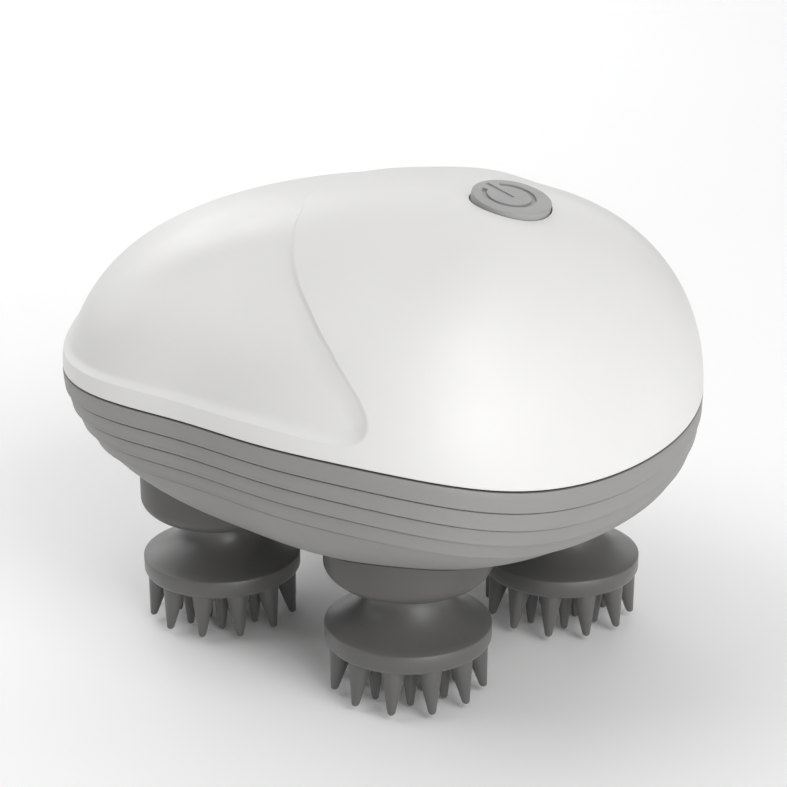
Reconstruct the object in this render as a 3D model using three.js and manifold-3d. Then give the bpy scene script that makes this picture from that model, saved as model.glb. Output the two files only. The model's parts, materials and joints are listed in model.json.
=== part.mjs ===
// Electric scalp massager: a palm-sized body on four geared massage heads.
// Millimetres, +Z up, +X towards the nose with the button, origin under the middle of the body.
import * as THREE from 'three';
import Module from 'manifold-3d';
import { mergeVertices } from 'three/addons/utils/BufferGeometryUtils.js';

const wasm = await Module();
wasm.setup();

const degree = Math.PI / 180;

// Body outline at the seam: radii at even bearings from the nose (0) to the tail (180 degrees).
const planRadii = [54.3, 55.5, 56.4, 53.9, 51.6, 53.8, 60.3, 63.3, 66.2, 67.8];
const planCentreX = (planRadii.at(-1) - planRadii[0]) / 2;

// Seam between the shells: level at the tail, dipping to the nose.
const seamHeight = 52.4;
const noseDip = 7.8;
const noseDipPower = 4.5;

// Dome and belly: heights and places of crown and keel, and how full each one is.
const crownHeight = 87.06;
const crownForward = 23.3;
const domeLean = 0.08;
const keelHeight = 27.04;
const keelForward = 28.95;
const bellyFullness = { mean: 0.5, ends: -0.124, sides: 0.16 };

// Shells
const wall = 2.0;
const recessDepth = 1.0;
const hoodWall = wall + recessDepth;
const sealThickness = 0.5;
const sealClearance = 0.06;
const sealInset = 0.25;

// Lapped bands of the belly: distance of each ledge below the seam, and its depth.
const ledgeDistances = [3.54, 7.05, 10.41, 14.17];
const ledgeStretch = 0.074;
const ledgeProud = 0.2;
const ledgeSunk = 0.2;
const ledgeDrop = 0.12;

// Grip recess, drawn in side view: it runs from behind the crown down to a round corner.
const recessLowerEdge = 3.5;
const recessOutline = [
  [41.2, 58.2], [40.4, 61.0], [35.9, 65.9], [28.7, 71.4],
  [19.3, 76.8], [9.1, 81.9], [2.8, 84.1], [-3.5, 85.0], [-9.0, 86.2],
];
const recessCornerX = 36.0;

// Massage heads
const rearHeadX = -16.3;
const rearHeadAngle = 78.2 * degree;
const frontHeadAngle = 55.0 * degree;
const discRadius = 15.0;
const discBottom = 9.74;
const discChamfer = 0.6;
const bandHeight = 3.49;
const neckRadius = 7.7;
const neckHeight = 20.6;
const headTop = 25.5;
const toothYaw = 2.22 * degree;
const outerToothBaseInset = 2.7;
const outerToothTipInset = 1.1;
const toothRings = [
  { count: 12, sides: 5, baseAt: discRadius - outerToothBaseInset,
    tipAt: discRadius - outerToothTipInset, baseRadius: 2.1, tipRadius: 0.62, tipHeight: 1.2 },
  { count: 8, sides: 4, baseAt: 8.64, tipAt: 8.64, baseRadius: 1.5, tipRadius: 0.58, tipHeight: 0.4 },
  { count: 4, sides: 4, baseAt: 4.0, tipAt: 4.0, baseRadius: 1.5, tipRadius: 0.58, tipHeight: 0 },
];

// Collars, hubs and output shafts
const collarRadius = discRadius;
const collarWall = 2.0;
const collarShoulder = 24.6;
const collarOpeningGap = 0.3;
const collarLip = 1.6;
const collarReach = seamHeight - 8.0;
const pieceGap = 0.3;
const hubRadius = 5.0;
const hubTop = 27.0;
const socketFloor = 2.4;
const shaftRadius = 2.0;
const runningGap = 0.12;
const sealRadius = 6.0;
const sealHeight = 2.5;
const bushRadius = 3.6;

// Gearbox
const slowModule = 1.25;
const driveTeeth = 21;
const outputTeeth = 20;
const smallWheelTeeth = 10;
const fastModule = 1.0;
const largeWheelTeeth = 27;
const motorPinionTeeth = 10;
const backlash = 0.32;
const addendum = 0.8;
const dedendum = 1.2;
const pressureAngle = 20 * degree;
const basePlateClearance = 1.2;
const plateThickness = 1.7;
const topPlateThickness = 2.0;
const gearToPlate = 0.75;
const gearToGear = 0.7;
const slowFace = 4.5;
const fastFace = 3.5;
const basePlateMargin = 5.2;
const topPlateMargin = 7.0;
const axleRadius = 1.5;
const pillarRadius = 3.2;
const pillars = [[38.0, 0], [7.0, 24.0], [7.0, -24.0]];

// Motor and battery
const motorRadius = 12.2;
const motorHeadroom = 2.4;
const motorToPlate = 0.1;
const motorBossRadius = 3.5;
const motorBossHeight = 1.5;
const motorShaftRadius = 1.0;
const motorCupWall = 1.5;
const motorCupHeight = 4.0;
const batteryTailRoom = 17.0;
const batteryHeadroom = 2.4;
const batteryEndRoom = 10.9;
const batteryGap = 0.2;
const holderLength = 30.0;
const holderWall = 1.4;

// Button, switch and board, along an axis that leans forward with the dome
const buttonX = 33.95;
const buttonProud = 0.9;
const buttonTilt = 12.9 * degree;
const buttonRadius = 7.0;
const buttonGap = 0.25;
const buttonTravel = 0.6;
const seatDepth = 5.6;
const seatWidth = 2.4;
const gasketHeight = 0.8;
const flangeThickness = 1.0;
const stemRadius = 1.8;
const stemLength = 2.0;
const plungerRadius = 1.5;
const plungerOut = 0.95;
const plungerIn = 0.8;
const switchSize = 6.0;
const switchHeight = 3.4;
const boardLength = 26.0;
const boardWidth = 20.0;
const boardThickness = 1.6;
const boardPostRadius = 1.8;

// Fasteners and charging contacts
const caseScrews = [[7.0, 36.0], [7.0, -36.0], [48.0, 13.0], [48.0, -13.0]];
const caseJointRise = 3.6;
const caseJointHeight = seamHeight + caseJointRise;
const caseBossLength = 12.0;
const caseScrewSeat = caseJointHeight - caseBossLength;
const caseBossRadius = 4.6;
const casePostRadius = 3.6;
const screwHeadRadius = 2.6;
const screwHeadHeight = 1.8;
const screwRadius = 1.4;
const screwGap = 0.1;
const caseScrewBite = 8.0;
const padX = 7.0;
const padRadius = 8.0;
const padDepth = 0.6;
const contactSpacing = 7.0;
const contactRadius = 2.0;
const contactPinRadius = 0.8;
const contactPinLength = 4.0;

// Facets round the large discs, the small rods, the plates' holes and the body.
const roundSegments = 18;
const smallSegments = 8;
const prismSegments = 4;
const outlineSegments = 30;
const domeRings = 8;
const linerRings = 5;

// How far a cut runs past the form that it cuts.
const cutMargin = 10.0;

// Cosine waves through the plan radii, so that the outline is smooth all the way round.
const lastRadius = planRadii.length - 1;
const planWaves = planRadii.map((_, wave) => {
  const share = wave === 0 || wave === lastRadius ? 0.5 : 1;
  const sum = planRadii.reduce((total, radius, index) => {
    const weight = index === 0 || index === lastRadius ? 0.5 : 1;
    return total + weight * radius * Math.cos((wave * index * Math.PI) / lastRadius);
  }, 0);
  return (2 * share * sum) / lastRadius;
});

function planRadius(bearing) {
  return planWaves.reduce((total, size, wave) => total + size * Math.cos(wave * bearing), 0);
}

function seamAt(bearing) {
  const forward = Math.max(planRadius(bearing) * Math.cos(bearing), 0);
  return seamHeight - noseDip * (forward / planRadii[0]) ** noseDipPower;
}

// A point of the dome: rise is 0 at the seam and a quarter turn at the crown.
function domePoint(bearing, rise, offset) {
  const radius = planRadius(bearing) + offset;
  const shrink = Math.cos(rise) ** (1 + domeLean * Math.cos(bearing));
  const seam = seamAt(bearing);
  return [
    planCentreX + crownForward + (radius * Math.cos(bearing) - crownForward) * shrink,
    radius * Math.sin(bearing) * shrink,
    seam + (crownHeight + offset - seam) * Math.sin(rise),
  ];
}

// A point of the belly: fall is 0 at the seam and a quarter turn at the keel.
function bellyPoint(bearing, fall, offset) {
  const { mean, ends, sides } = bellyFullness;
  const radius = planRadius(bearing) + offset;
  const power = mean + ends * Math.cos(bearing) + sides * Math.cos(2 * bearing);
  const shrink = Math.cos(fall) ** power;
  const seam = seamAt(bearing);
  return [
    planCentreX + keelForward + (radius * Math.cos(bearing) - keelForward) * shrink,
    radius * Math.sin(bearing) * shrink,
    seam - (seam - keelHeight + offset) * Math.sin(fall),
  ];
}

// The fall at which the belly's surface is a given distance below the seam.
function fallAt(bearing, distance) {
  const step = 0.01;
  let travelled = 0;
  let here = bellyPoint(bearing, 0, 0);
  for (let fall = step; fall < Math.PI / 2; fall += step) {
    const next = bellyPoint(bearing, fall, 0);
    const gap = Math.hypot(next[0] - here[0], next[1] - here[1], next[2] - here[2]);
    if (travelled + gap >= distance) return fall - step + (step * (distance - travelled)) / gap;
    travelled += gap;
    here = next;
  }
  return Math.PI / 2;
}

function ringOf(pointAt) {
  return Array.from({ length: outlineSegments }, (_, index) =>
    pointAt((index * 2 * Math.PI) / outlineSegments));
}

// Joins rings, each counterclockwise from above, into one closed body.
function loft(rings, startPole, endPole) {
  const count = rings[0].length;
  const points = rings.flat();
  const faces = [];
  const at = (ring, index) => (ring % rings.length) * count + (index % count);
  const spans = startPole ? rings.length - 1 : rings.length;
  for (let ring = 0; ring < spans; ring += 1) {
    for (let index = 0; index < count; index += 1) {
      faces.push(at(ring, index), at(ring, index + 1), at(ring + 1, index + 1));
      faces.push(at(ring, index), at(ring + 1, index + 1), at(ring + 1, index));
    }
  }
  if (startPole) {
    points.push(startPole, endPole);
    const last = rings.length - 1;
    for (let index = 0; index < count; index += 1) {
      faces.push(points.length - 2, at(0, index + 1), at(0, index));
      faces.push(at(last, index), at(last, index + 1), points.length - 1);
    }
  }
  const geometry = new THREE.BufferGeometry();
  geometry.setAttribute('position', new THREE.Float32BufferAttribute(points.flat(), 3));
  geometry.setIndex(faces);
  return geometry;
}

function solid(geometry) {
  const bare = geometry.clone();
  bare.deleteAttribute('normal');
  bare.deleteAttribute('uv');
  const merged = mergeVertices(bare, 1e-4);
  const index = merged.index.array;
  const kept = [];
  for (let corner = 0; corner < index.length; corner += 3) {
    const [a, b, c] = index.slice(corner, corner + 3);
    if (a !== b && b !== c && c !== a) kept.push(a, b, c);
  }
  return new wasm.Manifold(new wasm.Mesh({
    numProp: 3,
    vertProperties: new Float32Array(merged.attributes.position.array),
    triVerts: new Uint32Array(kept),
  }));
}

function geometryOf(body) {
  const { vertProperties, triVerts } = body.getMesh();
  const geometry = new THREE.BufferGeometry();
  geometry.setAttribute('position', new THREE.Float32BufferAttribute(vertProperties, 3));
  geometry.setIndex(Array.from(triVerts));
  geometry.computeVertexNormals();
  return geometry;
}

// A solid of revolution about Z from [radius, height] points in counterclockwise order.
function revolve(profile, segments = roundSegments) {
  const points = profile.map(([radius, height]) => new THREE.Vector2(radius, height));
  if (points[0].x > 0) points.push(points[0].clone());
  return new THREE.LatheGeometry(points, segments).rotateX(Math.PI / 2);
}

function disc(radius, bottom, top, segments = smallSegments) {
  return revolve([[0, bottom], [radius, bottom], [radius, top], [0, top]], segments);
}

// Holes are drawn round their circle, so that their flats clear what runs in them.
function holeCorner(radius, segments = smallSegments) {
  return radius / Math.cos(Math.PI / segments);
}

function ring(innerRadius, outerRadius, bottom, top, segments = smallSegments) {
  const bore = holeCorner(innerRadius, segments);
  return revolve([[bore, bottom], [outerRadius, bottom], [outerRadius, top], [bore, top]], segments);
}

function place(geometry, x, y) {
  return geometry.clone().translate(x, y, 0);
}

function prism(shape, bottom, top) {
  const geometry = new THREE.ExtrudeGeometry(shape, {
    depth: top - bottom, bevelEnabled: false, curveSegments: prismSegments,
  });
  return geometry.translate(0, 0, bottom);
}

function addHole(shape, x, y, radius) {
  const hole = new THREE.Path();
  hole.absarc(x, y, holeCorner(radius, 2 * prismSegments), 0, 2 * Math.PI, true);
  shape.holes.push(hole);
}

function drill(x, y, radius, bottom, top) {
  return solid(place(disc(holeCorner(radius), bottom, top), x, y));
}

// Height of the dome over a place on the middle line.
function domeLineHeight(x, offset) {
  const bearing = x < planCentreX + crownForward ? Math.PI : 0;
  const ahead = Math.cos(bearing);
  const reach = (planRadius(bearing) + offset) * ahead - crownForward;
  const shrink = (x - planCentreX - crownForward) / reach;
  const rise = Math.acos(shrink ** (1 / (1 + domeLean * ahead)));
  const seam = seamAt(bearing);
  return seam + (crownHeight + offset - seam) * Math.sin(rise);
}

// Half the room inside the hood at the seam, across a place behind the widest point.
function innerHalfWidth(x) {
  const radius = (bearing) => planRadius(bearing) - hoodWall;
  let bearing = Math.PI;
  while (planCentreX + radius(bearing) * Math.cos(bearing) < x) bearing -= 0.1 * degree;
  return radius(bearing) * Math.sin(bearing);
}

// Height of the belly under a place on the middle line, behind the keel.
function keelLineHeight(x) {
  const behind = planCentreX + keelForward - x;
  const reach = keelForward + planRadii.at(-1);
  const power = bellyFullness.mean - bellyFullness.ends + bellyFullness.sides;
  const fall = Math.acos((behind / reach) ** (1 / power));
  return seamHeight - (seamHeight - keelHeight) * Math.sin(fall);
}

// Gear places: the rear heads set the train, and each centre distance follows from the teeth.
const driveRadius = (slowModule * driveTeeth) / 2;
const outputRadius = (slowModule * outputTeeth) / 2;
const outputCentres = driveRadius + outputRadius;
const rearHeadY = outputCentres * Math.sin(rearHeadAngle);
const frontHeadY = outputCentres * Math.sin(frontHeadAngle);
const rearDriveX = rearHeadX + outputCentres * Math.cos(rearHeadAngle);
const frontDriveX = rearDriveX + 2 * driveRadius;
const frontHeadX = frontDriveX + outputCentres * Math.cos(frontHeadAngle);
const reductionX = rearDriveX - driveRadius - (slowModule * smallWheelTeeth) / 2;
const motorX = reductionX + (fastModule * (largeWheelTeeth + motorPinionTeeth)) / 2;

const heads = [
  { name: 'front_left', x: frontHeadX, y: frontHeadY, driveX: frontDriveX },
  { name: 'front_right', x: frontHeadX, y: -frontHeadY, driveX: frontDriveX },
  { name: 'rear_left', x: rearHeadX, y: rearHeadY, driveX: rearDriveX },
  { name: 'rear_right', x: rearHeadX, y: -rearHeadY, driveX: rearDriveX },
];

// Levels of the gearbox: it rests just over the belly, and the rest stacks up from there.
const basePlateBottom = keelLineHeight(reductionX) + wall + basePlateClearance;
const slowGearBottom = basePlateBottom + plateThickness + gearToPlate;
const fastGearBottom = slowGearBottom + slowFace + gearToGear;
const topPlateBottom = fastGearBottom + fastFace + gearToPlate;
const topPlateTop = topPlateBottom + topPlateThickness;

// The motor and the cell fill the room under the slope of the dome behind the button.
const motorBottom = topPlateTop + motorToPlate;
const motorTop = domeLineHeight(motorX - motorRadius, -hoodWall) - motorHeadroom;
const motorCupRadius = motorRadius + runningGap + motorCupWall;
const holderBottom = topPlateTop + motorToPlate;
const cellRearX = planCentreX - planRadii.at(-1) + batteryTailRoom;
const cellTop = domeLineHeight(cellRearX, -hoodWall) - batteryHeadroom;
const batteryRadius = (cellTop - holderBottom - holderWall - batteryGap) / 2;
const batteryHeight = cellTop - batteryRadius;
const batteryX = motorX - motorCupRadius - pieceGap - holderWall - runningGap - batteryRadius;
const batteryLength = 2 * (innerHalfWidth(batteryX - batteryRadius) - batteryEndRoom);

const buttonHeight = domeLineHeight(buttonX, 0) + buttonProud;

// Rings between seam and pole, as shares of the quarter turn between them.
function evenShares(count) {
  return Array.from({ length: count }, (_, index) => index / count);
}

const bellyFalls = [0.25, 0.5, 0.75, 0.93];
const domeRises = evenShares(domeRings).map((share) => (share * Math.PI) / 2);
const linerRises = evenShares(linerRings).map((share) => (share * Math.PI) / 2);

function crownPole(offset) {
  return [planCentreX + crownForward, 0, crownHeight + offset];
}

function keelPole(offset) {
  return [planCentreX + keelForward, 0, keelHeight - offset];
}

function ledgeAt(bearing, index) {
  return ledgeDistances[index] * (1 + ledgeStretch * Math.cos(2 * bearing));
}

// Rings of the belly from its highest ledge down to the keel, each ledge a small step inwards.
function bellyRings(offset) {
  const rings = [];
  ledgeDistances.forEach((_, index) => {
    for (const [drop, depth] of [[0, ledgeProud], [ledgeDrop, -ledgeSunk]]) {
      rings.push(ringOf((bearing) =>
        bellyPoint(bearing, fallAt(bearing, ledgeAt(bearing, index) + drop), offset + depth)));
    }
  });
  for (const share of bellyFalls) {
    rings.push(ringOf((bearing) => {
      const start = fallAt(bearing, ledgeAt(bearing, ledgeDistances.length - 1) + ledgeDrop);
      return bellyPoint(bearing, start + (Math.PI / 2 - start) * share, offset);
    }));
  }
  return rings;
}

// The whole outer form of the body, grown or shrunk by an offset.
function wholeBody(offset) {
  const upper = domeRises.map((rise) => ringOf((bearing) => domePoint(bearing, rise, offset)));
  const rings = [...bellyRings(offset).reverse(), ...upper];
  return solid(loft(rings, keelPole(offset), crownPole(offset)));
}

const outerForm = wholeBody(-wall / 2);
const freeSpace = wholeBody(-hoodWall - 0.5);

function lifted(point, rise) {
  return [point[0], point[1], point[2] + rise];
}

function domeShell() {
  const rim = sealThickness / 2 + sealClearance;
  const inner = [...linerRises].reverse().map((rise) =>
    ringOf((bearing) => lifted(domePoint(bearing, rise, -hoodWall), rise === 0 ? rim : 0)));
  const outer = domeRises.map((rise) =>
    ringOf((bearing) => lifted(domePoint(bearing, rise, 0), rise === 0 ? rim : 0)));
  return solid(loft([...inner, ...outer], crownPole(-hoodWall), crownPole(0)));
}

// Everything behind the grip edge and above the lip, right through the body.
function recessPrism() {
  const tail = planCentreX - planRadii.at(-1) - cutMargin;
  const lip = seamHeight + recessLowerEdge;
  const shape = new THREE.Shape();
  shape.moveTo(tail, lip);
  shape.lineTo(recessCornerX, lip);
  shape.quadraticCurveTo(recessOutline[0][0], lip, ...recessOutline[0]);
  shape.splineThru(recessOutline.slice(1).map(([x, z]) => new THREE.Vector2(x, z)));
  shape.lineTo(recessOutline.at(-1)[0], crownHeight + cutMargin);
  shape.lineTo(tail, crownHeight + cutMargin);
  const span = 2 * (planRadii.at(-1) + cutMargin);
  const geometry = new THREE.ExtrudeGeometry(shape, {
    depth: span, bevelEnabled: false, curveSegments: 2,
  });
  return solid(geometry.rotateX(Math.PI / 2).translate(0, span / 2, 0));
}

const buttonFrame = new THREE.Matrix4()
  .makeRotationY(buttonTilt)
  .setPosition(buttonX, 0, buttonHeight);

function atButton(geometry) {
  return geometry.clone().applyMatrix4(buttonFrame);
}

const gasketTop = -seatDepth - 0.1;
const flangeTop = gasketTop - gasketHeight - 0.1;
const stemEnd = flangeTop - flangeThickness - stemLength;
const switchTop = stemEnd - 0.05 - plungerOut;
const boardTop = switchTop - switchHeight - 0.05;
const boardPosts = [[-1, -1], [-1, 1], [1, -1], [1, 1]].map(([along, across]) =>
  [along * (boardLength / 2 - 2.5), across * (boardWidth / 2 - 2.5)]);

function topShell() {
  let body = domeShell();
  const band = wholeBody(2).subtract(wholeBody(-recessDepth));
  body = body.subtract(recessPrism().intersect(band));
  const holeRadius = buttonRadius + buttonGap;
  const seat = disc(holeRadius + seatWidth, -seatDepth, 0, roundSegments);
  body = body.add(solid(atButton(seat)).intersect(outerForm));
  const underSeat = disc(holeRadius + seatWidth + screwGap, boardTop, -seatDepth, roundSegments);
  body = body.subtract(solid(atButton(underSeat)));
  for (const [x, y] of boardPosts) {
    const post = place(disc(boardPostRadius, boardTop + 0.1, 0), x, y);
    body = body.add(solid(atButton(post)).intersect(outerForm));
  }
  body = body.subtract(solid(atButton(disc(holeRadius, -seatDepth - 5, 5, roundSegments))));
  for (const [x, y] of caseScrews) {
    const bottom = caseJointHeight + pieceGap;
    const post = solid(place(disc(casePostRadius, bottom, crownHeight), x, y));
    body = body.add(post.intersect(outerForm));
    const pilotTop = caseJointHeight + caseScrewBite + 1;
    body = body.subtract(drill(x, y, screwRadius + screwGap, bottom - 5, pilotTop));
  }
  return geometryOf(body);
}

function bellyShell() {
  const rim = -sealThickness / 2 - sealClearance;
  const rimRing = ringOf((bearing) => lifted(bellyPoint(bearing, 0, 0), rim));
  const outer = [rimRing, ...bellyRings(0)];
  const inner = [0, ...bellyFalls].map((share) =>
    ringOf((bearing) =>
      lifted(bellyPoint(bearing, (share * Math.PI) / 2, -wall), share === 0 ? rim : 0)));
  return solid(loft([...outer.reverse(), ...inner], keelPole(0), keelPole(-wall)));
}

const headSealBottom = basePlateBottom - pieceGap - 2 - sealHeight;

function lowerShell() {
  let body = bellyShell();
  for (const { x, y } of heads) {
    const boss = solid(place(disc(sealRadius + 2, 0, basePlateBottom - pieceGap), x, y));
    body = body.add(boss.intersect(outerForm));
    const pocketTop = headSealBottom + sealHeight + screwGap;
    body = body.subtract(drill(x, y, sealRadius + screwGap, 0, pocketTop));
    body = body.subtract(drill(x, y, shaftRadius + 1, 0, basePlateBottom));
  }
  for (const [x, y] of pillars) {
    const boss = solid(place(disc(pillarRadius, 0, basePlateBottom - pieceGap), x, y));
    body = body.add(boss.intersect(outerForm));
    const pilotBottom = basePlateBottom - 5;
    body = body.subtract(drill(x, y, screwRadius + screwGap, pilotBottom, basePlateBottom));
  }
  for (const [x, y] of caseScrews) {
    const boss = solid(place(disc(caseBossRadius, 0, caseJointHeight), x, y));
    body = body.add(boss.intersect(outerForm));
    body = body.subtract(drill(x, y, screwHeadRadius + pieceGap, 0, caseScrewSeat));
    body = body.subtract(drill(x, y, screwRadius + screwGap, 0, caseJointHeight + 1));
  }
  const pad = disc(padRadius, 0, padHeight, roundSegments);
  body = body.subtract(solid(place(pad, padX, 0)));
  for (const y of contactPlaces) {
    body = body.subtract(drill(padX, y, contactRadius + screwGap, 0, padHeight + 0.8));
    body = body.subtract(drill(padX, y, contactPinRadius + screwGap, 0, padHeight + wall + 2));
  }
  return geometryOf(body);
}

// The charging pad is a shallow flat in the belly.
const padHeight = keelLineHeight(padX) + padDepth;
const contactPlaces = [-contactSpacing / 2, contactSpacing / 2];

function caseSeal() {
  const corner = (offset, rise) =>
    ringOf((bearing) => lifted(domePoint(bearing, 0, offset), rise));
  const half = sealThickness / 2;
  return loft([
    corner(-sealInset, -half), corner(-sealInset, half),
    corner(-wall, half), corner(-wall, -half),
  ]);
}

function quarterCurve(count, radiusAt, heightAt) {
  return Array.from({ length: count + 1 }, (_, index) =>
    [radiusAt(index / count), heightAt(index / count)]);
}

// Soft head: a disc with a trumpet neck on top and tapered teeth below.
function massageHead() {
  const bandTop = discBottom + bandHeight;
  const bore = hubRadius + screwGap;
  const trumpet = quarterCurve(2,
    (share) => neckRadius + (discRadius - 0.3 - neckRadius) * (1 - share) ** 1.8,
    (share) => bandTop + 0.2 + (neckHeight - bandTop - 0.2) * share);
  let body = solid(revolve([
    [0, discBottom], [discRadius - discChamfer, discBottom],
    [discRadius, discBottom + discChamfer], [discRadius, bandTop],
    ...trumpet,
    [neckRadius, headTop], [bore, headTop],
    [bore, discBottom + socketFloor], [0, discBottom + socketFloor],
  ]));
  for (const row of toothRings) {
    for (let index = 0; index < row.count; index += 1) {
      body = body.add(solid(tooth(row, toothYaw + (index * 2 * Math.PI) / row.count)));
    }
  }
  return geometryOf(body);
}

function tooth({ sides, baseAt, tipAt, baseRadius, tipRadius, tipHeight }, bearing) {
  const root = discBottom + 0.5;
  const height = root - tipHeight;
  const lean = (tipAt - baseAt) / height;
  const slant = new THREE.Matrix4().set(
    1, 0, -lean, tipAt + lean * tipHeight,
    0, 1, 0, 0,
    0, 0, 1, 0,
    0, 0, 0, 1,
  );
  return new THREE.CylinderGeometry(baseRadius, tipRadius, height, sides)
    .rotateX(Math.PI / 2)
    .translate(0, 0, tipHeight + height / 2)
    .applyMatrix4(slant)
    .rotateZ(bearing);
}

// Dark cup under the belly that hides the neck of a head; its top is cut to the belly.
function headCollar({ x, y }) {
  const opening = neckRadius + collarOpeningGap;
  const outside = quarterCurve(3,
    (share) => opening + (collarRadius - opening) * Math.sin((share * Math.PI) / 2),
    (share) => collarShoulder - (collarShoulder - neckHeight) * Math.cos((share * Math.PI) / 2));
  const inside = quarterCurve(1,
    (share) => opening + (collarRadius - collarWall - opening) * Math.cos((share * Math.PI) / 2),
    (share) => collarShoulder - (collarShoulder - neckHeight - collarLip) * Math.sin((share * Math.PI) / 2));
  const profile = [
    ...outside, [collarRadius, collarReach],
    [collarRadius - collarWall, collarReach], ...inside,
  ];
  const cup = solid(place(revolve(profile), x, y));
  return geometryOf(cup.subtract(wholeBody(pieceGap)));
}

function headHub() {
  const bottom = discBottom + socketFloor + screwGap;
  const bore = shaftRadius + screwGap;
  return revolve([
    [0, bottom], [hubRadius, bottom], [hubRadius, hubTop], [bore, hubTop],
    [bore, bottom + 1.5], [0, bottom + 1.5],
  ], smallSegments);
}

function outputShaft() {
  return disc(shaftRadius, discBottom + socketFloor + screwGap + 1.8, topPlateTop - 0.3);
}

function gearOutline(teeth, size, phase) {
  const pitchRadius = (size * teeth) / 2;
  const rootRadius = pitchRadius - dedendum * size;
  const tipRadius = pitchRadius + addendum * size;
  const halfWidth = (radius) =>
    ((Math.PI * size) / 4 - backlash / 2 - (radius - pitchRadius) * Math.tan(pressureAngle)) / radius;
  const points = [];
  for (let index = 0; index < teeth; index += 1) {
    const centre = phase + (index * 2 * Math.PI) / teeth;
    const corners = [
      [rootRadius, centre - halfWidth(rootRadius)],
      [tipRadius, centre - halfWidth(tipRadius)],
      [tipRadius, centre + halfWidth(tipRadius)],
      [rootRadius, centre + halfWidth(rootRadius)],
    ];
    for (const [radius, angle] of corners) {
      points.push(new THREE.Vector2(radius * Math.cos(angle), radius * Math.sin(angle)));
    }
  }
  return new THREE.Shape(points);
}

function gear(teeth, size, phase, bore, bottom, face) {
  const shape = gearOutline(teeth, size, phase);
  addHole(shape, 0, 0, bore);
  return prism(shape, bottom, bottom + face);
}

// The phase that puts a tooth of the next gear into a gap of this one.
function meshedPhase(teeth, phase, direction, nextTeeth) {
  const turns = ((direction - phase) * teeth) / (2 * Math.PI);
  const share = turns - Math.floor(turns);
  return direction + Math.PI - ((2 * Math.PI) / nextTeeth) * (0.5 - share);
}

const frontDrivePhase = 0;
const rearDrivePhase = meshedPhase(driveTeeth, frontDrivePhase, Math.PI, driveTeeth);
const smallWheelPhase = meshedPhase(driveTeeth, rearDrivePhase, Math.PI, smallWheelTeeth);
const largeWheelPhase = 0;
const motorPinionPhase = meshedPhase(largeWheelTeeth, largeWheelPhase, 0, motorPinionTeeth);

function outputPhase({ x, y, driveX }) {
  const drivePhase = driveX === frontDriveX ? frontDrivePhase : rearDrivePhase;
  return meshedPhase(driveTeeth, drivePhase, Math.atan2(y, x - driveX), outputTeeth);
}

function reductionGear() {
  const bore = axleRadius + runningGap;
  const small = gear(smallWheelTeeth, slowModule, smallWheelPhase, bore, slowGearBottom,
    fastGearBottom - slowGearBottom + 0.5);
  const large = gear(largeWheelTeeth, fastModule, largeWheelPhase, bore, fastGearBottom, fastFace);
  return geometryOf(solid(small).add(solid(large)));
}

// The outline that a stretched band would take round discs of one radius.
function roundedHull(centres, radius) {
  const shape = new THREE.Shape();
  centres.forEach(([x, y], index) => {
    const [beforeX, beforeY] = centres.at(index - 1);
    const [afterX, afterY] = centres[(index + 1) % centres.length];
    const start = Math.atan2(beforeX - x, y - beforeY);
    const end = Math.atan2(x - afterX, afterY - y);
    shape.absarc(x, y, radius, start, end, false);
  });
  return shape;
}

const plateCorners = [
  [rearHeadX, -rearHeadY], [frontHeadX, -frontHeadY], [pillars[0][0] - 2, 0],
  [frontHeadX, frontHeadY], [rearHeadX, rearHeadY],
];

function basePlate() {
  const shape = roundedHull([...plateCorners, [reductionX, 0]], basePlateMargin);
  for (const { x, y } of heads) addHole(shape, x, y, bushRadius + runningGap);
  for (const x of [frontDriveX, rearDriveX, reductionX]) addHole(shape, x, 0, axleRadius + runningGap);
  for (const [x, y] of pillars) addHole(shape, x, y, screwRadius + runningGap);
  const plate = prism(shape, basePlateBottom, basePlateBottom + plateThickness);
  return geometryOf(solid(plate).intersect(freeSpace));
}

function topPlate() {
  const shape = roundedHull([...plateCorners, [batteryX, 0]], topPlateMargin);
  let body = solid(prism(shape, topPlateBottom, topPlateTop));
  const cupInner = motorRadius + runningGap;
  const cup = ring(cupInner, cupInner + motorCupWall, topPlateTop - 0.5,
    topPlateTop + motorCupHeight, roundSegments);
  body = body.add(solid(place(cup, motorX, 0)));
  for (const [x, y] of pillars) {
    const leg = disc(pillarRadius, basePlateBottom + plateThickness + runningGap, topPlateTop - 0.5);
    body = body.add(solid(place(leg, x, y)));
  }
  const cuts = [
    ...pillars.map(([x, y]) => [x, y, screwRadius + runningGap]),
    ...heads.map(({ x, y }) => [x, y, shaftRadius + runningGap]),
    [motorX, 0, motorBossRadius + runningGap],
    [reductionX, 0, axleRadius + runningGap],
  ];
  for (const [x, y, radius] of cuts) {
    body = body.subtract(drill(x, y, radius, 0, crownHeight));
  }
  return geometryOf(body);
}

function motorCan() {
  const bore = motorShaftRadius + runningGap;
  return revolve([
    [bore, motorBottom - motorBossHeight], [motorBossRadius, motorBottom - motorBossHeight],
    [motorBossRadius, motorBottom], [motorRadius - 0.8, motorBottom],
    [motorRadius, motorBottom + 0.8], [motorRadius, motorTop - 0.8],
    [motorRadius - 0.8, motorTop], [bore, motorTop],
  ]);
}

function motorShaft() {
  return disc(motorShaftRadius, fastGearBottom + 0.2, motorTop - 1);
}

function battery() {
  const cap = 3.0;
  return revolve([
    [0, -batteryLength / 2], [batteryRadius, -batteryLength / 2],
    [batteryRadius, batteryLength / 2 - 1], [cap, batteryLength / 2 - 1],
    [cap, batteryLength / 2], [0, batteryLength / 2],
  ]).rotateX(Math.PI / 2).translate(batteryX, 0, batteryHeight);
}

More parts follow.
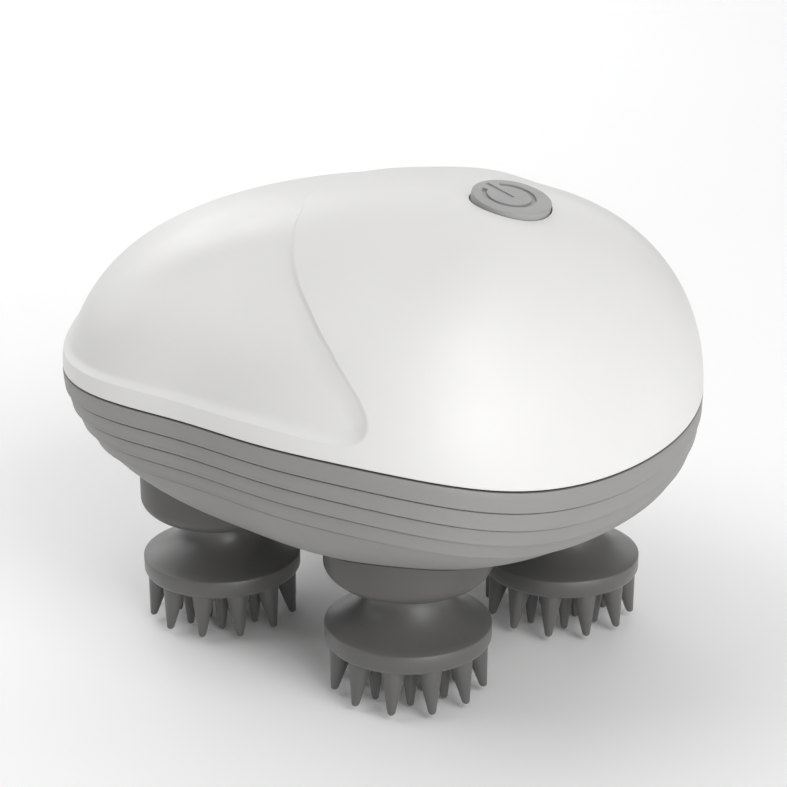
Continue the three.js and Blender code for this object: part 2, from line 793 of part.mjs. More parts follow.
// A cradle with its lower half round the cell.
function batteryHolder() {
  const inner = batteryRadius + runningGap;
  const outer = inner + holderWall;
  const shape = new THREE.Shape();
  shape.moveTo(-outer, batteryHeight);
  shape.lineTo(-outer, holderBottom);
  shape.lineTo(outer, holderBottom);
  shape.lineTo(outer, batteryHeight);
  shape.lineTo(inner, batteryHeight);
  shape.absarc(0, batteryHeight, inner, 0, Math.PI, true);
  const geometry = new THREE.ExtrudeGeometry(shape, {
    depth: holderLength, bevelEnabled: false, curveSegments: 10,
  });
  geometry.rotateX(Math.PI / 2).translate(batteryX, holderLength / 2, 0);
  return geometryOf(solid(geometry).intersect(freeSpace));
}

function powerButton() {
  const flangeRadius = buttonRadius + buttonGap + seatWidth - 1;
  const flangeBottom = flangeTop - flangeThickness;
  return revolve([
    [0, stemEnd], [stemRadius, stemEnd], [stemRadius, flangeBottom],
    [flangeRadius, flangeBottom], [flangeRadius, flangeTop], [buttonRadius, flangeTop],
    [buttonRadius, -0.25], [buttonRadius - 0.25, 0], [0, 0],
  ]);
}

function buttonGasket() {
  const inner = buttonRadius + buttonGap;
  return ring(inner, inner + seatWidth, gasketTop - gasketHeight, gasketTop, roundSegments);
}

function tactileSwitch() {
  const box = new THREE.BoxGeometry(switchSize, switchSize, switchHeight)
    .translate(0, 0, switchTop - switchHeight / 2);
  const bore = disc(plungerRadius + runningGap, switchTop - plungerIn - buttonTravel - 0.2, 0);
  return geometryOf(solid(box).subtract(solid(bore)));
}

function circuitBoard() {
  return new THREE.BoxGeometry(boardLength, boardWidth, boardThickness)
    .translate(0, 0, boardTop - boardThickness / 2);
}

function screw(headBottom, length, radius = screwRadius) {
  const headTop = headBottom + screwHeadHeight;
  return revolve([
    [0, headBottom], [screwHeadRadius, headBottom], [screwHeadRadius, headTop],
    [radius, headTop], [radius, headTop + length], [0, headTop + length],
  ], smallSegments);
}

function gearboxScrew() {
  const seat = topPlateTop + 0.1;
  return revolve([
    [0, basePlateBottom - 4.5], [screwRadius, basePlateBottom - 4.5], [screwRadius, seat],
    [screwHeadRadius, seat], [screwHeadRadius, seat + screwHeadHeight],
    [0, seat + screwHeadHeight],
  ], smallSegments);
}

function chargeContact() {
  const top = padHeight + 0.7;
  return revolve([
    [0, padHeight + 0.05], [contactRadius, padHeight + 0.05], [contactRadius, top],
    [contactPinRadius, top], [contactPinRadius, top + contactPinLength],
    [0, top + contactPinLength],
  ], smallSegments);
}

function finish(colour, roughness, metalness = 0) {
  return new THREE.MeshStandardMaterial({ color: colour, roughness, metalness });
}

const finishes = {
  whiteShell: finish(0xf0efed, 0.42),
  greyShell: finish(0x9b9b99, 0.5),
  darkSoft: finish(0x5c5a59, 0.6),
  darkPlastic: finish(0x62605f, 0.5),
  buttonGrey: finish(0xacacac, 0.45),
  seal: finish(0x2a2a2a, 0.8),
  gearPlastic: finish(0xe8e2d4, 0.5),
  framePlastic: finish(0xb8b8b6, 0.55),
  steel: finish(0xc4c6c8, 0.3, 1),
  motorSteel: finish(0xa9acae, 0.35, 1),
  brass: finish(0xc9a24a, 0.3, 1),
  cell: finish(0x2f7d5b, 0.5),
  board: finish(0x1f6b3a, 0.5),
  black: finish(0x1c1c1c, 0.5),
};

const massager = new THREE.Group();

function add(name, geometry, material, x = 0, y = 0, parent = massager) {
  const mesh = new THREE.Mesh(geometry, material);
  mesh.name = name;
  mesh.position.set(x, y, 0);
  parent.add(mesh);
}

function addBody() {
  add('top_shell', topShell(), finishes.whiteShell);
  add('lower_shell', lowerShell(), finishes.greyShell);
  add('case_seal', caseSeal(), finishes.seal);
  caseScrews.forEach(([x, y], index) => {
    const length = caseJointHeight + caseScrewBite - caseScrewSeat;
    const geometry = screw(caseScrewSeat - screwHeadHeight - 0.1, length);
    add(`case_screw_${index + 1}`, geometry, finishes.steel, x, y);
  });
  contactPlaces.forEach((y, index) => {
    add(`charge_contact_${index + 1}`, chargeContact(), finishes.brass, padX, y);
  });
}

function addHeads() {
  const headShape = massageHead();
  for (const head of heads) {
    const { name, x, y } = head;
    const bore = shaftRadius + runningGap;
    const sealTop = headSealBottom + sealHeight;
    add(`massage_head_${name}`, headShape.clone(), finishes.darkSoft, x, y);
    add(`head_hub_${name}`, headHub(), finishes.darkPlastic, x, y);
    add(`head_collar_${name}`, headCollar(head), finishes.darkPlastic);
    add(`output_shaft_${name}`, outputShaft(), finishes.steel, x, y);
    add(`shaft_seal_${name}`, ring(bore, sealRadius, headSealBottom, sealTop), finishes.seal, x, y);
    add(`output_bush_${name}`, ring(bore, bushRadius, basePlateBottom, slowGearBottom - 0.3),
      finishes.brass, x, y);
    add(`output_gear_${name}`, gear(outputTeeth, slowModule, outputPhase(head), shaftRadius + screwGap,
      slowGearBottom, slowFace), finishes.gearPlastic, x, y);
  }
}

function addGearbox() {
  const bore = axleRadius + runningGap;
  const shortAxle = disc(axleRadius, basePlateBottom, fastGearBottom - 0.3);
  const longAxle = disc(axleRadius, basePlateBottom, topPlateTop);
  add('gearbox_base_plate', basePlate(), finishes.framePlastic);
  add('gearbox_top_plate', topPlate(), finishes.framePlastic);
  pillars.forEach(([x, y], index) => {
    add(`gearbox_screw_${index + 1}`, gearboxScrew(), finishes.steel, x, y);
  });
  add('drive_gear_front', gear(driveTeeth, slowModule, frontDrivePhase, bore, slowGearBottom, slowFace),
    finishes.gearPlastic, frontDriveX);
  add('drive_gear_rear', gear(driveTeeth, slowModule, rearDrivePhase, bore, slowGearBottom, slowFace),
    finishes.gearPlastic, rearDriveX);
  add('drive_axle_front', shortAxle, finishes.steel, frontDriveX);
  add('drive_axle_rear', shortAxle.clone(), finishes.steel, rearDriveX);
  add('reduction_gear', reductionGear(), finishes.gearPlastic, reductionX);
  add('reduction_axle', longAxle, finishes.steel, reductionX);
}

function addMotorAndBattery() {
  add('motor_can', motorCan(), finishes.motorSteel, motorX);
  add('motor_shaft', motorShaft(), finishes.steel, motorX);
  add('motor_pinion', gear(motorPinionTeeth, fastModule, motorPinionPhase,
    motorShaftRadius + 0.06, fastGearBottom, fastFace), finishes.brass, motorX);
  add('battery', battery(), finishes.cell);
  add('battery_holder', batteryHolder(), finishes.black);
}

function addButton() {
  const frame = new THREE.Group();
  frame.position.set(buttonX, 0, buttonHeight);
  frame.rotation.y = buttonTilt;
  const plungerTop = stemEnd - 0.05;
  const plunger = disc(plungerRadius, plungerTop - plungerOut - plungerIn, plungerTop);
  add('power_button', powerButton(), finishes.buttonGrey, 0, 0, frame);
  add('button_gasket', buttonGasket(), finishes.seal, 0, 0, frame);
  add('switch_plunger', plunger, finishes.black, 0, 0, frame);
  add('tactile_switch', tactileSwitch(), finishes.black, 0, 0, frame);
  add('circuit_board', circuitBoard(), finishes.board, 0, 0, frame);
  massager.add(frame);
}

addBody();
addHeads();
addGearbox();
addMotorAndBattery();
addButton();

export default massager;
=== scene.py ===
import json
import math

import bpy
import numpy as np
from mathutils import Matrix, Vector


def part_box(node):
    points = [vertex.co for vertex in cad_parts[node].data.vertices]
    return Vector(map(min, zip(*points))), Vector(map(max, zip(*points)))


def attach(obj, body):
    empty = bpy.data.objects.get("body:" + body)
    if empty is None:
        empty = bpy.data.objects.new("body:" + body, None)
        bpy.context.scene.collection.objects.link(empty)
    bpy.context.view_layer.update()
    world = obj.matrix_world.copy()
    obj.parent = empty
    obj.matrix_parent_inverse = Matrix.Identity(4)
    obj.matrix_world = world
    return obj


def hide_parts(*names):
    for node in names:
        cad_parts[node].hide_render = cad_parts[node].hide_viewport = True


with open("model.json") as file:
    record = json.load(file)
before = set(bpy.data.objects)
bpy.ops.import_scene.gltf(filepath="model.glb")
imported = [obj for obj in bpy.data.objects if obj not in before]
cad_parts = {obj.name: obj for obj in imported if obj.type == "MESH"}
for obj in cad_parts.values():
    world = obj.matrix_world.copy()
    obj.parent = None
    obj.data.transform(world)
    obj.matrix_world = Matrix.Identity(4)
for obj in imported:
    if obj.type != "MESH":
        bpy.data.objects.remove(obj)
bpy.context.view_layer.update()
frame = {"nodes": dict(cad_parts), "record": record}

# Looks of the four-head scalp massager. Shapes are thought out in millimetres and built in metres.
mm = 0.001
weldDistance = 0.002
print("frame loaded, %d nodes" % len(frame["nodes"]))


# small helpers

def deselectAll():
    if bpy.context.object and bpy.context.object.mode != "OBJECT":
        bpy.ops.object.mode_set(mode="OBJECT")
    bpy.ops.object.select_all(action="DESELECT")


def pick(piece):
    deselectAll()
    piece.select_set(True)
    bpy.context.view_layer.objects.active = piece


def editAll(piece):
    pick(piece)
    bpy.ops.object.mode_set(mode="EDIT")
    bpy.ops.mesh.select_mode(type="VERT")
    bpy.ops.mesh.select_all(action="SELECT")


def leaveEdit():
    bpy.ops.object.mode_set(mode="OBJECT")


def rename(piece, name):
    piece.name = name
    piece.data.name = name
    return piece


def modify(piece, kind, **values):
    pick(piece)
    bpy.ops.object.modifier_add(type=kind)
    modifier = piece.modifiers[-1]
    for key, value in values.items():
        setattr(modifier, key, value)
    bpy.ops.object.modifier_apply(modifier=modifier.name)


def carve(piece, tool, operation):
    modify(piece, "BOOLEAN", operation=operation, solver="EXACT", object=tool)
    bpy.data.objects.remove(tool)


def settle(piece):
    pick(piece)
    bpy.ops.object.transform_apply(location=True, rotation=True, scale=True)


def mergeAndFaceOut(piece):
    editAll(piece)
    bpy.ops.mesh.remove_doubles(threshold=weldDistance * mm)
    bpy.ops.mesh.normals_make_consistent(inside=False)
    leaveEdit()


def smoothBy(piece, angle):
    pick(piece)
    bpy.ops.object.shade_smooth_by_angle(angle=math.radians(angle))


def join(pieces, name):
    deselectAll()
    for piece in pieces:
        piece.select_set(True)
    bpy.context.view_layer.objects.active = pieces[0]
    bpy.ops.object.join()
    return rename(pieces[0], name)


def copyOf(piece, name, shift=(0, 0, 0), turn=0.0):
    twin = piece.copy()
    twin.data = piece.data.copy()
    bpy.context.scene.collection.objects.link(twin)
    twin.data.transform(Matrix.Translation(Vector(shift) * mm) @ Matrix.Rotation(turn, 4, "Z"))
    return rename(twin, name)


# A sheet of quads through rows of points; each row is an array of [x, y, z] in mm.
def sheetThrough(name, rows):
    points = np.stack(rows)
    deselectAll()
    bpy.ops.mesh.primitive_grid_add(
        x_subdivisions=points.shape[1] - 1, y_subdivisions=points.shape[0] - 1, size=0.1)
    sheet = rename(bpy.context.object, name)
    sheet.data.vertices.foreach_set("co", (points * mm).reshape(-1))
    sheet.data.update()
    return sheet


# The half on the side of +Y is made first, then mirrored and sewn up along the middle.
def mirroredBody(name, rows):
    body = sheetThrough(name, rows)
    modify(body, "MIRROR", use_axis=(False, True, False), merge_threshold=weldDistance * mm)
    mergeAndFaceOut(body)
    return body


# A turned piece: a vertex is extruded along the profile, then spun about Z.
def turned(name, profile, steps=96):
    deselectAll()
    radius, height = profile[0]
    bpy.ops.mesh.primitive_plane_add(size=mm, location=(radius * mm, 0, height * mm))
    piece = rename(bpy.context.object, name)
    editAll(piece)
    bpy.ops.mesh.merge(type="CENTER")
    for (fromRadius, fromHeight), (toRadius, toHeight) in zip(profile, profile[1:]):
        move = ((toRadius - fromRadius) * mm, 0, (toHeight - fromHeight) * mm)
        bpy.ops.mesh.extrude_region_move(TRANSFORM_OT_translate={"value": move})
    bpy.ops.mesh.select_all(action="SELECT")
    bpy.ops.mesh.spin(steps=steps, angle=2 * math.pi, center=(0, 0, 0), axis=(0, 0, 1))
    leaveEdit()
    settle(piece)
    mergeAndFaceOut(piece)
    return piece


def rod(x, y, radius, bottom, top, sides=48):
    deselectAll()
    bpy.ops.mesh.primitive_cylinder_add(
        vertices=sides, radius=radius * mm, depth=(top - bottom) * mm,
        location=(x * mm, y * mm, (bottom + top) / 2 * mm))
    piece = bpy.context.object
    settle(piece)
    return piece


def steppedRod(x, y, steps, bottom, sides=48):
    profile = [(0, bottom)]
    height = bottom
    for radius, top in steps:
        profile += [(radius, height), (radius, top)]
        height = top
    profile.append((0, height))
    piece = turned("steppedRod", profile, sides)
    piece.data.transform(Matrix.Translation((x * mm, y * mm, 0)))
    return piece


def dress(piece, body, slot, *nodes):
    piece.data.materials.clear()
    piece.data.materials.append(finishes[slot])
    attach(piece, body)
    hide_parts(*nodes)


# surface effects, shared by the materials

def newGroup(name, inputs, outputs):
    group = bpy.data.node_groups.new(name, "ShaderNodeTree")
    for label, kind, value in inputs:
        socket = group.interface.new_socket(name=label, in_out="INPUT", socket_type=kind)
        if value is not None:
            socket.default_value = value
    for label, kind in outputs:
        group.interface.new_socket(name=label, in_out="OUTPUT", socket_type=kind)
    return group, group.nodes.new("NodeGroupInput"), group.nodes.new("NodeGroupOutput")


# Fine grain of a moulded skin, with broad patches where it was handled.
def makeMouldGrain():
    group, given, result = newGroup(
        "mouldGrain",
        [("Place", "NodeSocketVector", None), ("Grain Scale", "NodeSocketFloat", 2600.0),
         ("Patch Scale", "NodeSocketFloat", 45.0)],
        [("Grain", "NodeSocketFloat"), ("Patches", "NodeSocketFloat")])
    link = group.links.new
    grain = group.nodes.new("ShaderNodeTexNoise")
    grain.inputs["Detail"].default_value = 3.0
    grain.inputs["Roughness"].default_value = 0.6
    patches = group.nodes.new("ShaderNodeTexNoise")
    patches.inputs["Detail"].default_value = 4.0
    patches.inputs["Distortion"].default_value = 0.4
    spread = group.nodes.new("ShaderNodeMapRange")
    spread.interpolation_type = "SMOOTHSTEP"
    spread.inputs["From Min"].default_value = 0.35
    spread.inputs["From Max"].default_value = 0.65
    link(given.outputs["Place"], grain.inputs["Vector"])
    link(given.outputs["Place"], patches.inputs["Vector"])
    link(given.outputs["Grain Scale"], grain.inputs["Scale"])
    link(given.outputs["Patch Scale"], patches.inputs["Scale"])
    link(patches.outputs["Fac"], spread.inputs["Value"])
    link(grain.outputs["Fac"], result.inputs["Grain"])
    link(spread.outputs["Result"], result.inputs["Patches"])
    return group


# Lines left by turning or drawing, running round the chosen direction.
def makeDrawnLines():
    group, given, result = newGroup(
        "drawnLines",
        [("Place", "NodeSocketVector", None), ("Stretch", "NodeSocketVector", None),
         ("Line Scale", "NodeSocketFloat", 1800.0)],
        [("Lines", "NodeSocketFloat")])
    link = group.links.new
    stretch = group.nodes.new("ShaderNodeVectorMath")
    stretch.operation = "MULTIPLY"
    lines = group.nodes.new("ShaderNodeTexNoise")
    lines.inputs["Detail"].default_value = 5.0
    lines.inputs["Roughness"].default_value = 0.7
    link(given.outputs["Place"], stretch.inputs[0])
    link(given.outputs["Stretch"], stretch.inputs[1])
    link(stretch.outputs["Vector"], lines.inputs["Vector"])
    link(given.outputs["Line Scale"], lines.inputs["Scale"])
    link(lines.outputs["Fac"], result.inputs["Lines"])
    return group


mouldGrain = makeMouldGrain()
drawnLines = makeDrawnLines()


def startMaterial(name):
    material = bpy.data.materials.new(name)
    material.use_nodes = True
    nodes = material.node_tree.nodes
    shader = nodes["Principled BSDF"]
    place = nodes.new("ShaderNodeTexCoord").outputs["Object"]
    return material, nodes, material.node_tree.links.new, shader, place


def blendColours(nodes, link, mask, first, second):
    blend = nodes.new("ShaderNodeMix")
    blend.data_type = "RGBA"
    blend.inputs["A"].default_value = (*first, 1)
    blend.inputs["B"].default_value = (*second, 1)
    link(mask, blend.inputs["Factor"])
    return blend.outputs["Result"]


def spreadValue(nodes, link, mask, low, high):
    spread = nodes.new("ShaderNodeMapRange")
    spread.inputs["To Min"].default_value = low
    spread.inputs["To Max"].default_value = high
    link(mask, spread.inputs["Value"])
    return spread.outputs["Result"]


def mouldedMaterial(name, look):
    material, nodes, link, shader, place = startMaterial(name)
    grain = nodes.new("ShaderNodeGroup")
    grain.node_tree = mouldGrain
    grain.inputs["Grain Scale"].default_value = look["grainScale"]
    grain.inputs["Patch Scale"].default_value = look["patchScale"]
    link(place, grain.inputs["Place"])
    link(blendColours(nodes, link, grain.outputs["Patches"], look["colour"], look["patchColour"]),
         shader.inputs["Base Color"])
    low, high = look["roughness"]
    link(spreadValue(nodes, link, grain.outputs["Patches"], low, high), shader.inputs["Roughness"])
    bump = nodes.new("ShaderNodeBump")
    bump.inputs["Strength"].default_value = look["bumpStrength"]
    bump.inputs["Distance"].default_value = look["bumpDepth"] * mm
    link(grain.outputs["Grain"], bump.inputs["Height"])
    link(bump.outputs["Normal"], shader.inputs["Normal"])
    shader.inputs["Specular IOR Level"].default_value = look["specular"]
    for socket, value in look.get("extra", {}).items():
        shader.inputs[socket].default_value = value
    return material


metalBump = {"strength": 0.15, "depth": 0.02}


def metalMaterial(name, look):
    material, nodes, link, shader, place = startMaterial(name)
    lines = nodes.new("ShaderNodeGroup")
    lines.node_tree = drawnLines
    lines.inputs["Stretch"].default_value = look["stretch"]
    lines.inputs["Line Scale"].default_value = look["lineScale"]
    link(place, lines.inputs["Place"])
    link(blendColours(nodes, link, lines.outputs["Lines"], look["colour"], look["lineColour"]),
         shader.inputs["Base Color"])
    low, high = look["roughness"]
    link(spreadValue(nodes, link, lines.outputs["Lines"], low, high), shader.inputs["Roughness"])
    bump = nodes.new("ShaderNodeBump")
    bump.inputs["Strength"].default_value = metalBump["strength"]
    bump.inputs["Distance"].default_value = metalBump["depth"] * mm
    link(lines.outputs["Lines"], bump.inputs["Height"])
    link(bump.outputs["Normal"], shader.inputs["Normal"])
    shader.inputs["Metallic"].default_value = 1.0
    return material


mouldedLooks = {
    "white_shell": {
        "colour": (0.696, 0.692, 0.679), "patchColour": (0.684, 0.68, 0.667),
        "roughness": (0.4, 0.45), "grainScale": 2400.0, "patchScale": 38.0,
        "bumpStrength": 0.05, "bumpDepth": 0.04, "specular": 0.5,
        "extra": {"Subsurface Weight": 0.06, "Subsurface Radius": (0.002, 0.0018, 0.0016)},
    },
    "grey_shell": {
        "colour": (0.258, 0.254, 0.248), "patchColour": (0.247, 0.243, 0.238),
        "roughness": (0.46, 0.52), "grainScale": 2200.0, "patchScale": 42.0,
        "bumpStrength": 0.08, "bumpDepth": 0.05, "specular": 0.4,
    },
    "dark_silicone": {
        "colour": (0.1, 0.097, 0.095), "patchColour": (0.092, 0.09, 0.088),
        "roughness": (0.36, 0.43), "grainScale": 1900.0, "patchScale": 70.0,
        "bumpStrength": 0.1, "bumpDepth": 0.06, "specular": 0.6,
        "extra": {"Sheen Weight": 0.12, "Sheen Roughness": 0.5},
    },
    "dark_plastic": {
        "colour": (0.089, 0.086, 0.084), "patchColour": (0.083, 0.08, 0.078),
        "roughness": (0.42, 0.5), "grainScale": 2300.0, "patchScale": 60.0,
        "bumpStrength": 0.08, "bumpDepth": 0.05, "specular": 0.45,
    },
    "button_grey": {
        "colour": (0.315, 0.315, 0.313), "patchColour": (0.304, 0.304, 0.302),
        "roughness": (0.4, 0.46), "grainScale": 3200.0, "patchScale": 120.0,
        "bumpStrength": 0.08, "bumpDepth": 0.04, "specular": 0.45,
    },
    "seal_rubber": {
        "colour": (0.02, 0.02, 0.02), "patchColour": (0.027, 0.027, 0.026),
        "roughness": (0.62, 0.72), "grainScale": 1800.0, "patchScale": 90.0,
        "bumpStrength": 0.15, "bumpDepth": 0.05, "specular": 0.3,
    },
    "gear_plastic": {
        "colour": (0.78, 0.74, 0.66), "patchColour": (0.74, 0.7, 0.62),
        "roughness": (0.34, 0.44), "grainScale": 2600.0, "patchScale": 150.0,
        "bumpStrength": 0.1, "bumpDepth": 0.04, "specular": 0.5,
        "extra": {"Subsurface Weight": 0.1, "Subsurface Radius": (0.0015, 0.0013, 0.001)},
    },
    "frame_plastic": {
        "colour": (0.46, 0.46, 0.455), "patchColour": (0.42, 0.42, 0.415),
        "roughness": (0.48, 0.58), "grainScale": 2200.0, "patchScale": 80.0,
        "bumpStrength": 0.14, "bumpDepth": 0.05, "specular": 0.4,
    },
    "black_plastic": {
        "colour": (0.014, 0.014, 0.014), "patchColour": (0.02, 0.02, 0.02),
        "roughness": (0.4, 0.5), "grainScale": 2600.0, "patchScale": 150.0,
        "bumpStrength": 0.12, "bumpDepth": 0.04, "specular": 0.45,
    },
}

metalLooks = {
    "steel": {
        "colour": (0.6, 0.605, 0.61), "lineColour": (0.5, 0.505, 0.51),
        "roughness": (0.22, 0.38), "stretch": (1.0, 1.0, 7.0), "lineScale": 900.0,
    },
    "motor_steel": {
        "colour": (0.52, 0.525, 0.53), "lineColour": (0.42, 0.425, 0.43),
        "roughness": (0.28, 0.45), "stretch": (1.0, 1.0, 9.0), "lineScale": 500.0,
    },
    "brass": {
        "colour": (0.72, 0.52, 0.22), "lineColour": (0.6, 0.42, 0.17),
        "roughness": (0.2, 0.36), "stretch": (1.0, 1.0, 6.0), "lineScale": 1100.0,
    },
}


# A steel cell in a shrunk sleeve: the sleeve stops short of the two ends.
def makeCellWrap():
    look = {"sleeve": (0.03, 0.2, 0.12), "sleevePatch": (0.025, 0.17, 0.1), "end": (0.5, 0.5, 0.5),
            "sleeveEnd": 21.4, "roughness": (0.3, 0.45), "grainScale": 1500.0, "patchScale": 130.0}
    material, nodes, link, shader, place = startMaterial("cell_wrap")
    grain = nodes.new("ShaderNodeGroup")
    grain.node_tree = mouldGrain
    grain.inputs["Grain Scale"].default_value = look["grainScale"]
    grain.inputs["Patch Scale"].default_value = look["patchScale"]
    link(place, grain.inputs["Place"])
    apart = nodes.new("ShaderNodeSeparateXYZ")
    link(place, apart.inputs["Vector"])
    along = nodes.new("ShaderNodeMath")
    along.operation = "ABSOLUTE"
    link(apart.outputs["Y"], along.inputs[0])
    bare = nodes.new("ShaderNodeMath")
    bare.operation = "GREATER_THAN"
    bare.inputs[1].default_value = look["sleeveEnd"] * mm
    link(along.outputs["Value"], bare.inputs[0])
    sleeve = blendColours(
        nodes, link, grain.outputs["Patches"], look["sleeve"], look["sleevePatch"])
    blend = nodes.new("ShaderNodeMix")
    blend.data_type = "RGBA"
    blend.inputs["B"].default_value = (*look["end"], 1)
    link(bare.outputs["Value"], blend.inputs["Factor"])
    link(sleeve, blend.inputs["A"])
    link(blend.outputs["Result"], shader.inputs["Base Color"])
    link(bare.outputs["Value"], shader.inputs["Metallic"])
    low, high = look["roughness"]
    link(spreadValue(nodes, link, grain.outputs["Grain"], low, high), shader.inputs["Roughness"])
    return material


# Solder mask over copper: thin tracks show as lighter, slightly raised lines.
def makeBoardLaminate():
    look = {"mask": (0.012, 0.11, 0.045), "track": (0.03, 0.2, 0.08), "trackScale": 420.0,
            "trackDisorder": 0.6, "trackEdge": (0.04, 0.1), "roughness": (0.3, 0.42),
            "bumpStrength": 0.3, "bumpDepth": 0.05}
    material, nodes, link, shader, place = startMaterial("board_laminate")
    tracks = nodes.new("ShaderNodeTexVoronoi")
    tracks.feature = "DISTANCE_TO_EDGE"
    tracks.inputs["Scale"].default_value = look["trackScale"]
    tracks.inputs["Randomness"].default_value = look["trackDisorder"]
    link(place, tracks.inputs["Vector"])
    line = nodes.new("ShaderNodeMapRange")
    line.inputs["From Min"].default_value, line.inputs["From Max"].default_value = look["trackEdge"]
    line.inputs["To Min"].default_value = 1.0
    line.inputs["To Max"].default_value = 0.0
    link(tracks.outputs["Distance"], line.inputs["Value"])
    link(blendColours(nodes, link, line.outputs["Result"], look["mask"], look["track"]),
         shader.inputs["Base Color"])
    low, high = look["roughness"]
    link(spreadValue(nodes, link, line.outputs["Result"], low, high), shader.inputs["Roughness"])
    bump = nodes.new("ShaderNodeBump")
    bump.inputs["Strength"].default_value = look["bumpStrength"]
    bump.inputs["Distance"].default_value = look["bumpDepth"] * mm
    link(line.outputs["Result"], bump.inputs["Height"])
    link(bump.outputs["Normal"], shader.inputs["Normal"])
    return material


finishes = {name: mouldedMaterial(name, look) for name, look in mouldedLooks.items()}
finishes.update({name: metalMaterial(name, look) for name, look in metalLooks.items()})
finishes["cell_wrap"] = makeCellWrap()
finishes["board_laminate"] = makeBoardLaminate()
slotOfNode = {part["node"]: part["material_slot"] for part in frame["record"]["subparts"]}
for nodeName, node in frame["nodes"].items():
    for slot in node.material_slots:
        slot.material = finishes[slotOfNode[nodeName]]
print("finishes: %d" % len(finishes))


# body form: outline at the seam, dome above it and belly below it

bodyForm = {
    "planRadii": [54.3, 55.5, 56.25, 53.65, 51.2, 53.7, 60.8, 62.75, 66.05, 67.8],
    "seamHeight": 52.4, "noseDip": 7.8, "noseDipPower": 4.5,
    "crownHeight": 87.06, "crownForward": 23.3, "domeLean": 0.065,
    "keelHeight": 27.04, "keelForward": 28.95,
    "bellyMean": 0.549, "bellyEnds": -0.205, "bellySides": 0.218, "bellyThird": -0.029,
    "swellAt": 44.0, "swellHeight": 0.7, "swellSpread": 14.0,
    "wall": 2.0, "hoodWall": 3.0, "rimGap": 0.17,
}
lastRadius = len(bodyForm["planRadii"]) - 1
planCentreX = (bodyForm["planRadii"][-1] - bodyForm["planRadii"][0]) / 2


def cosineWaves(radii):
    weights = np.ones(len(radii))
    weights[[0, -1]] = 0.5
    steps = np.arange(len(radii))
    waves = [weights[k] * 2 / lastRadius
             * np.sum(weights * np.array(radii) * np.cos(k * steps * math.pi / lastRadius))
             for k in steps]
    return np.array(waves)


planWaves = cosineWaves(bodyForm["planRadii"])


def planRadius(bearing):
    return sum(size * np.cos(wave * bearing) for wave, size in enumerate(planWaves))


def seamAt(bearing):
    forward = np.maximum(planRadius(bearing) * np.cos(bearing), 0)
    dip = (forward / bodyForm["planRadii"][0]) ** bodyForm["noseDipPower"]
    return bodyForm["seamHeight"] - bodyForm["noseDip"] * dip


def domePoint(bearing, rise, offset=0.0):
    radius = planRadius(bearing) + offset
    shrink = np.maximum(np.cos(rise), 0) ** (1 + bodyForm["domeLean"] * np.cos(bearing))
    forward = bodyForm["crownForward"]
    seam = seamAt(bearing)
    x = planCentreX + forward + (radius * np.cos(bearing) - forward) * shrink
    y = radius * np.sin(bearing) * shrink
    z = seam + (bodyForm["crownHeight"] + offset - seam) * np.sin(rise)
    swell = np.exp(-((x - bodyForm["swellAt"]) ** 2 + y ** 2) / 2 / bodyForm["swellSpread"] ** 2)
    z = z + bodyForm["swellHeight"] * swell * np.sin(rise)
    return np.stack(np.broadcast_arrays(x, y, z), -1)


# reach runs from 1 at the seam to 0 at the keel, evenly in plan
def bellyPoint(bearing, reach, offset=0.0):
    radius = planRadius(bearing) + offset
    power = (bodyForm["bellyMean"] + bodyForm["bellyEnds"] * np.cos(bearing)
             + bodyForm["bellySides"] * np.cos(2 * bearing)
             + bodyForm["bellyThird"] * np.cos(3 * bearing))
    sine = np.sqrt(np.maximum(1 - np.maximum(reach, 0) ** (2 / power), 0))
    forward = bodyForm["keelForward"]
    seam = seamAt(bearing)
    x = planCentreX + forward + (radius * np.cos(bearing) - forward) * reach
    y = radius * np.sin(bearing) * reach
    z = seam - (seam - bodyForm["keelHeight"] + offset) * sine
    return np.stack(np.broadcast_arrays(x, y, z), -1)


def lifted(points, rise):
    return points + np.array([0, 0, rise])


# hood and grip recess

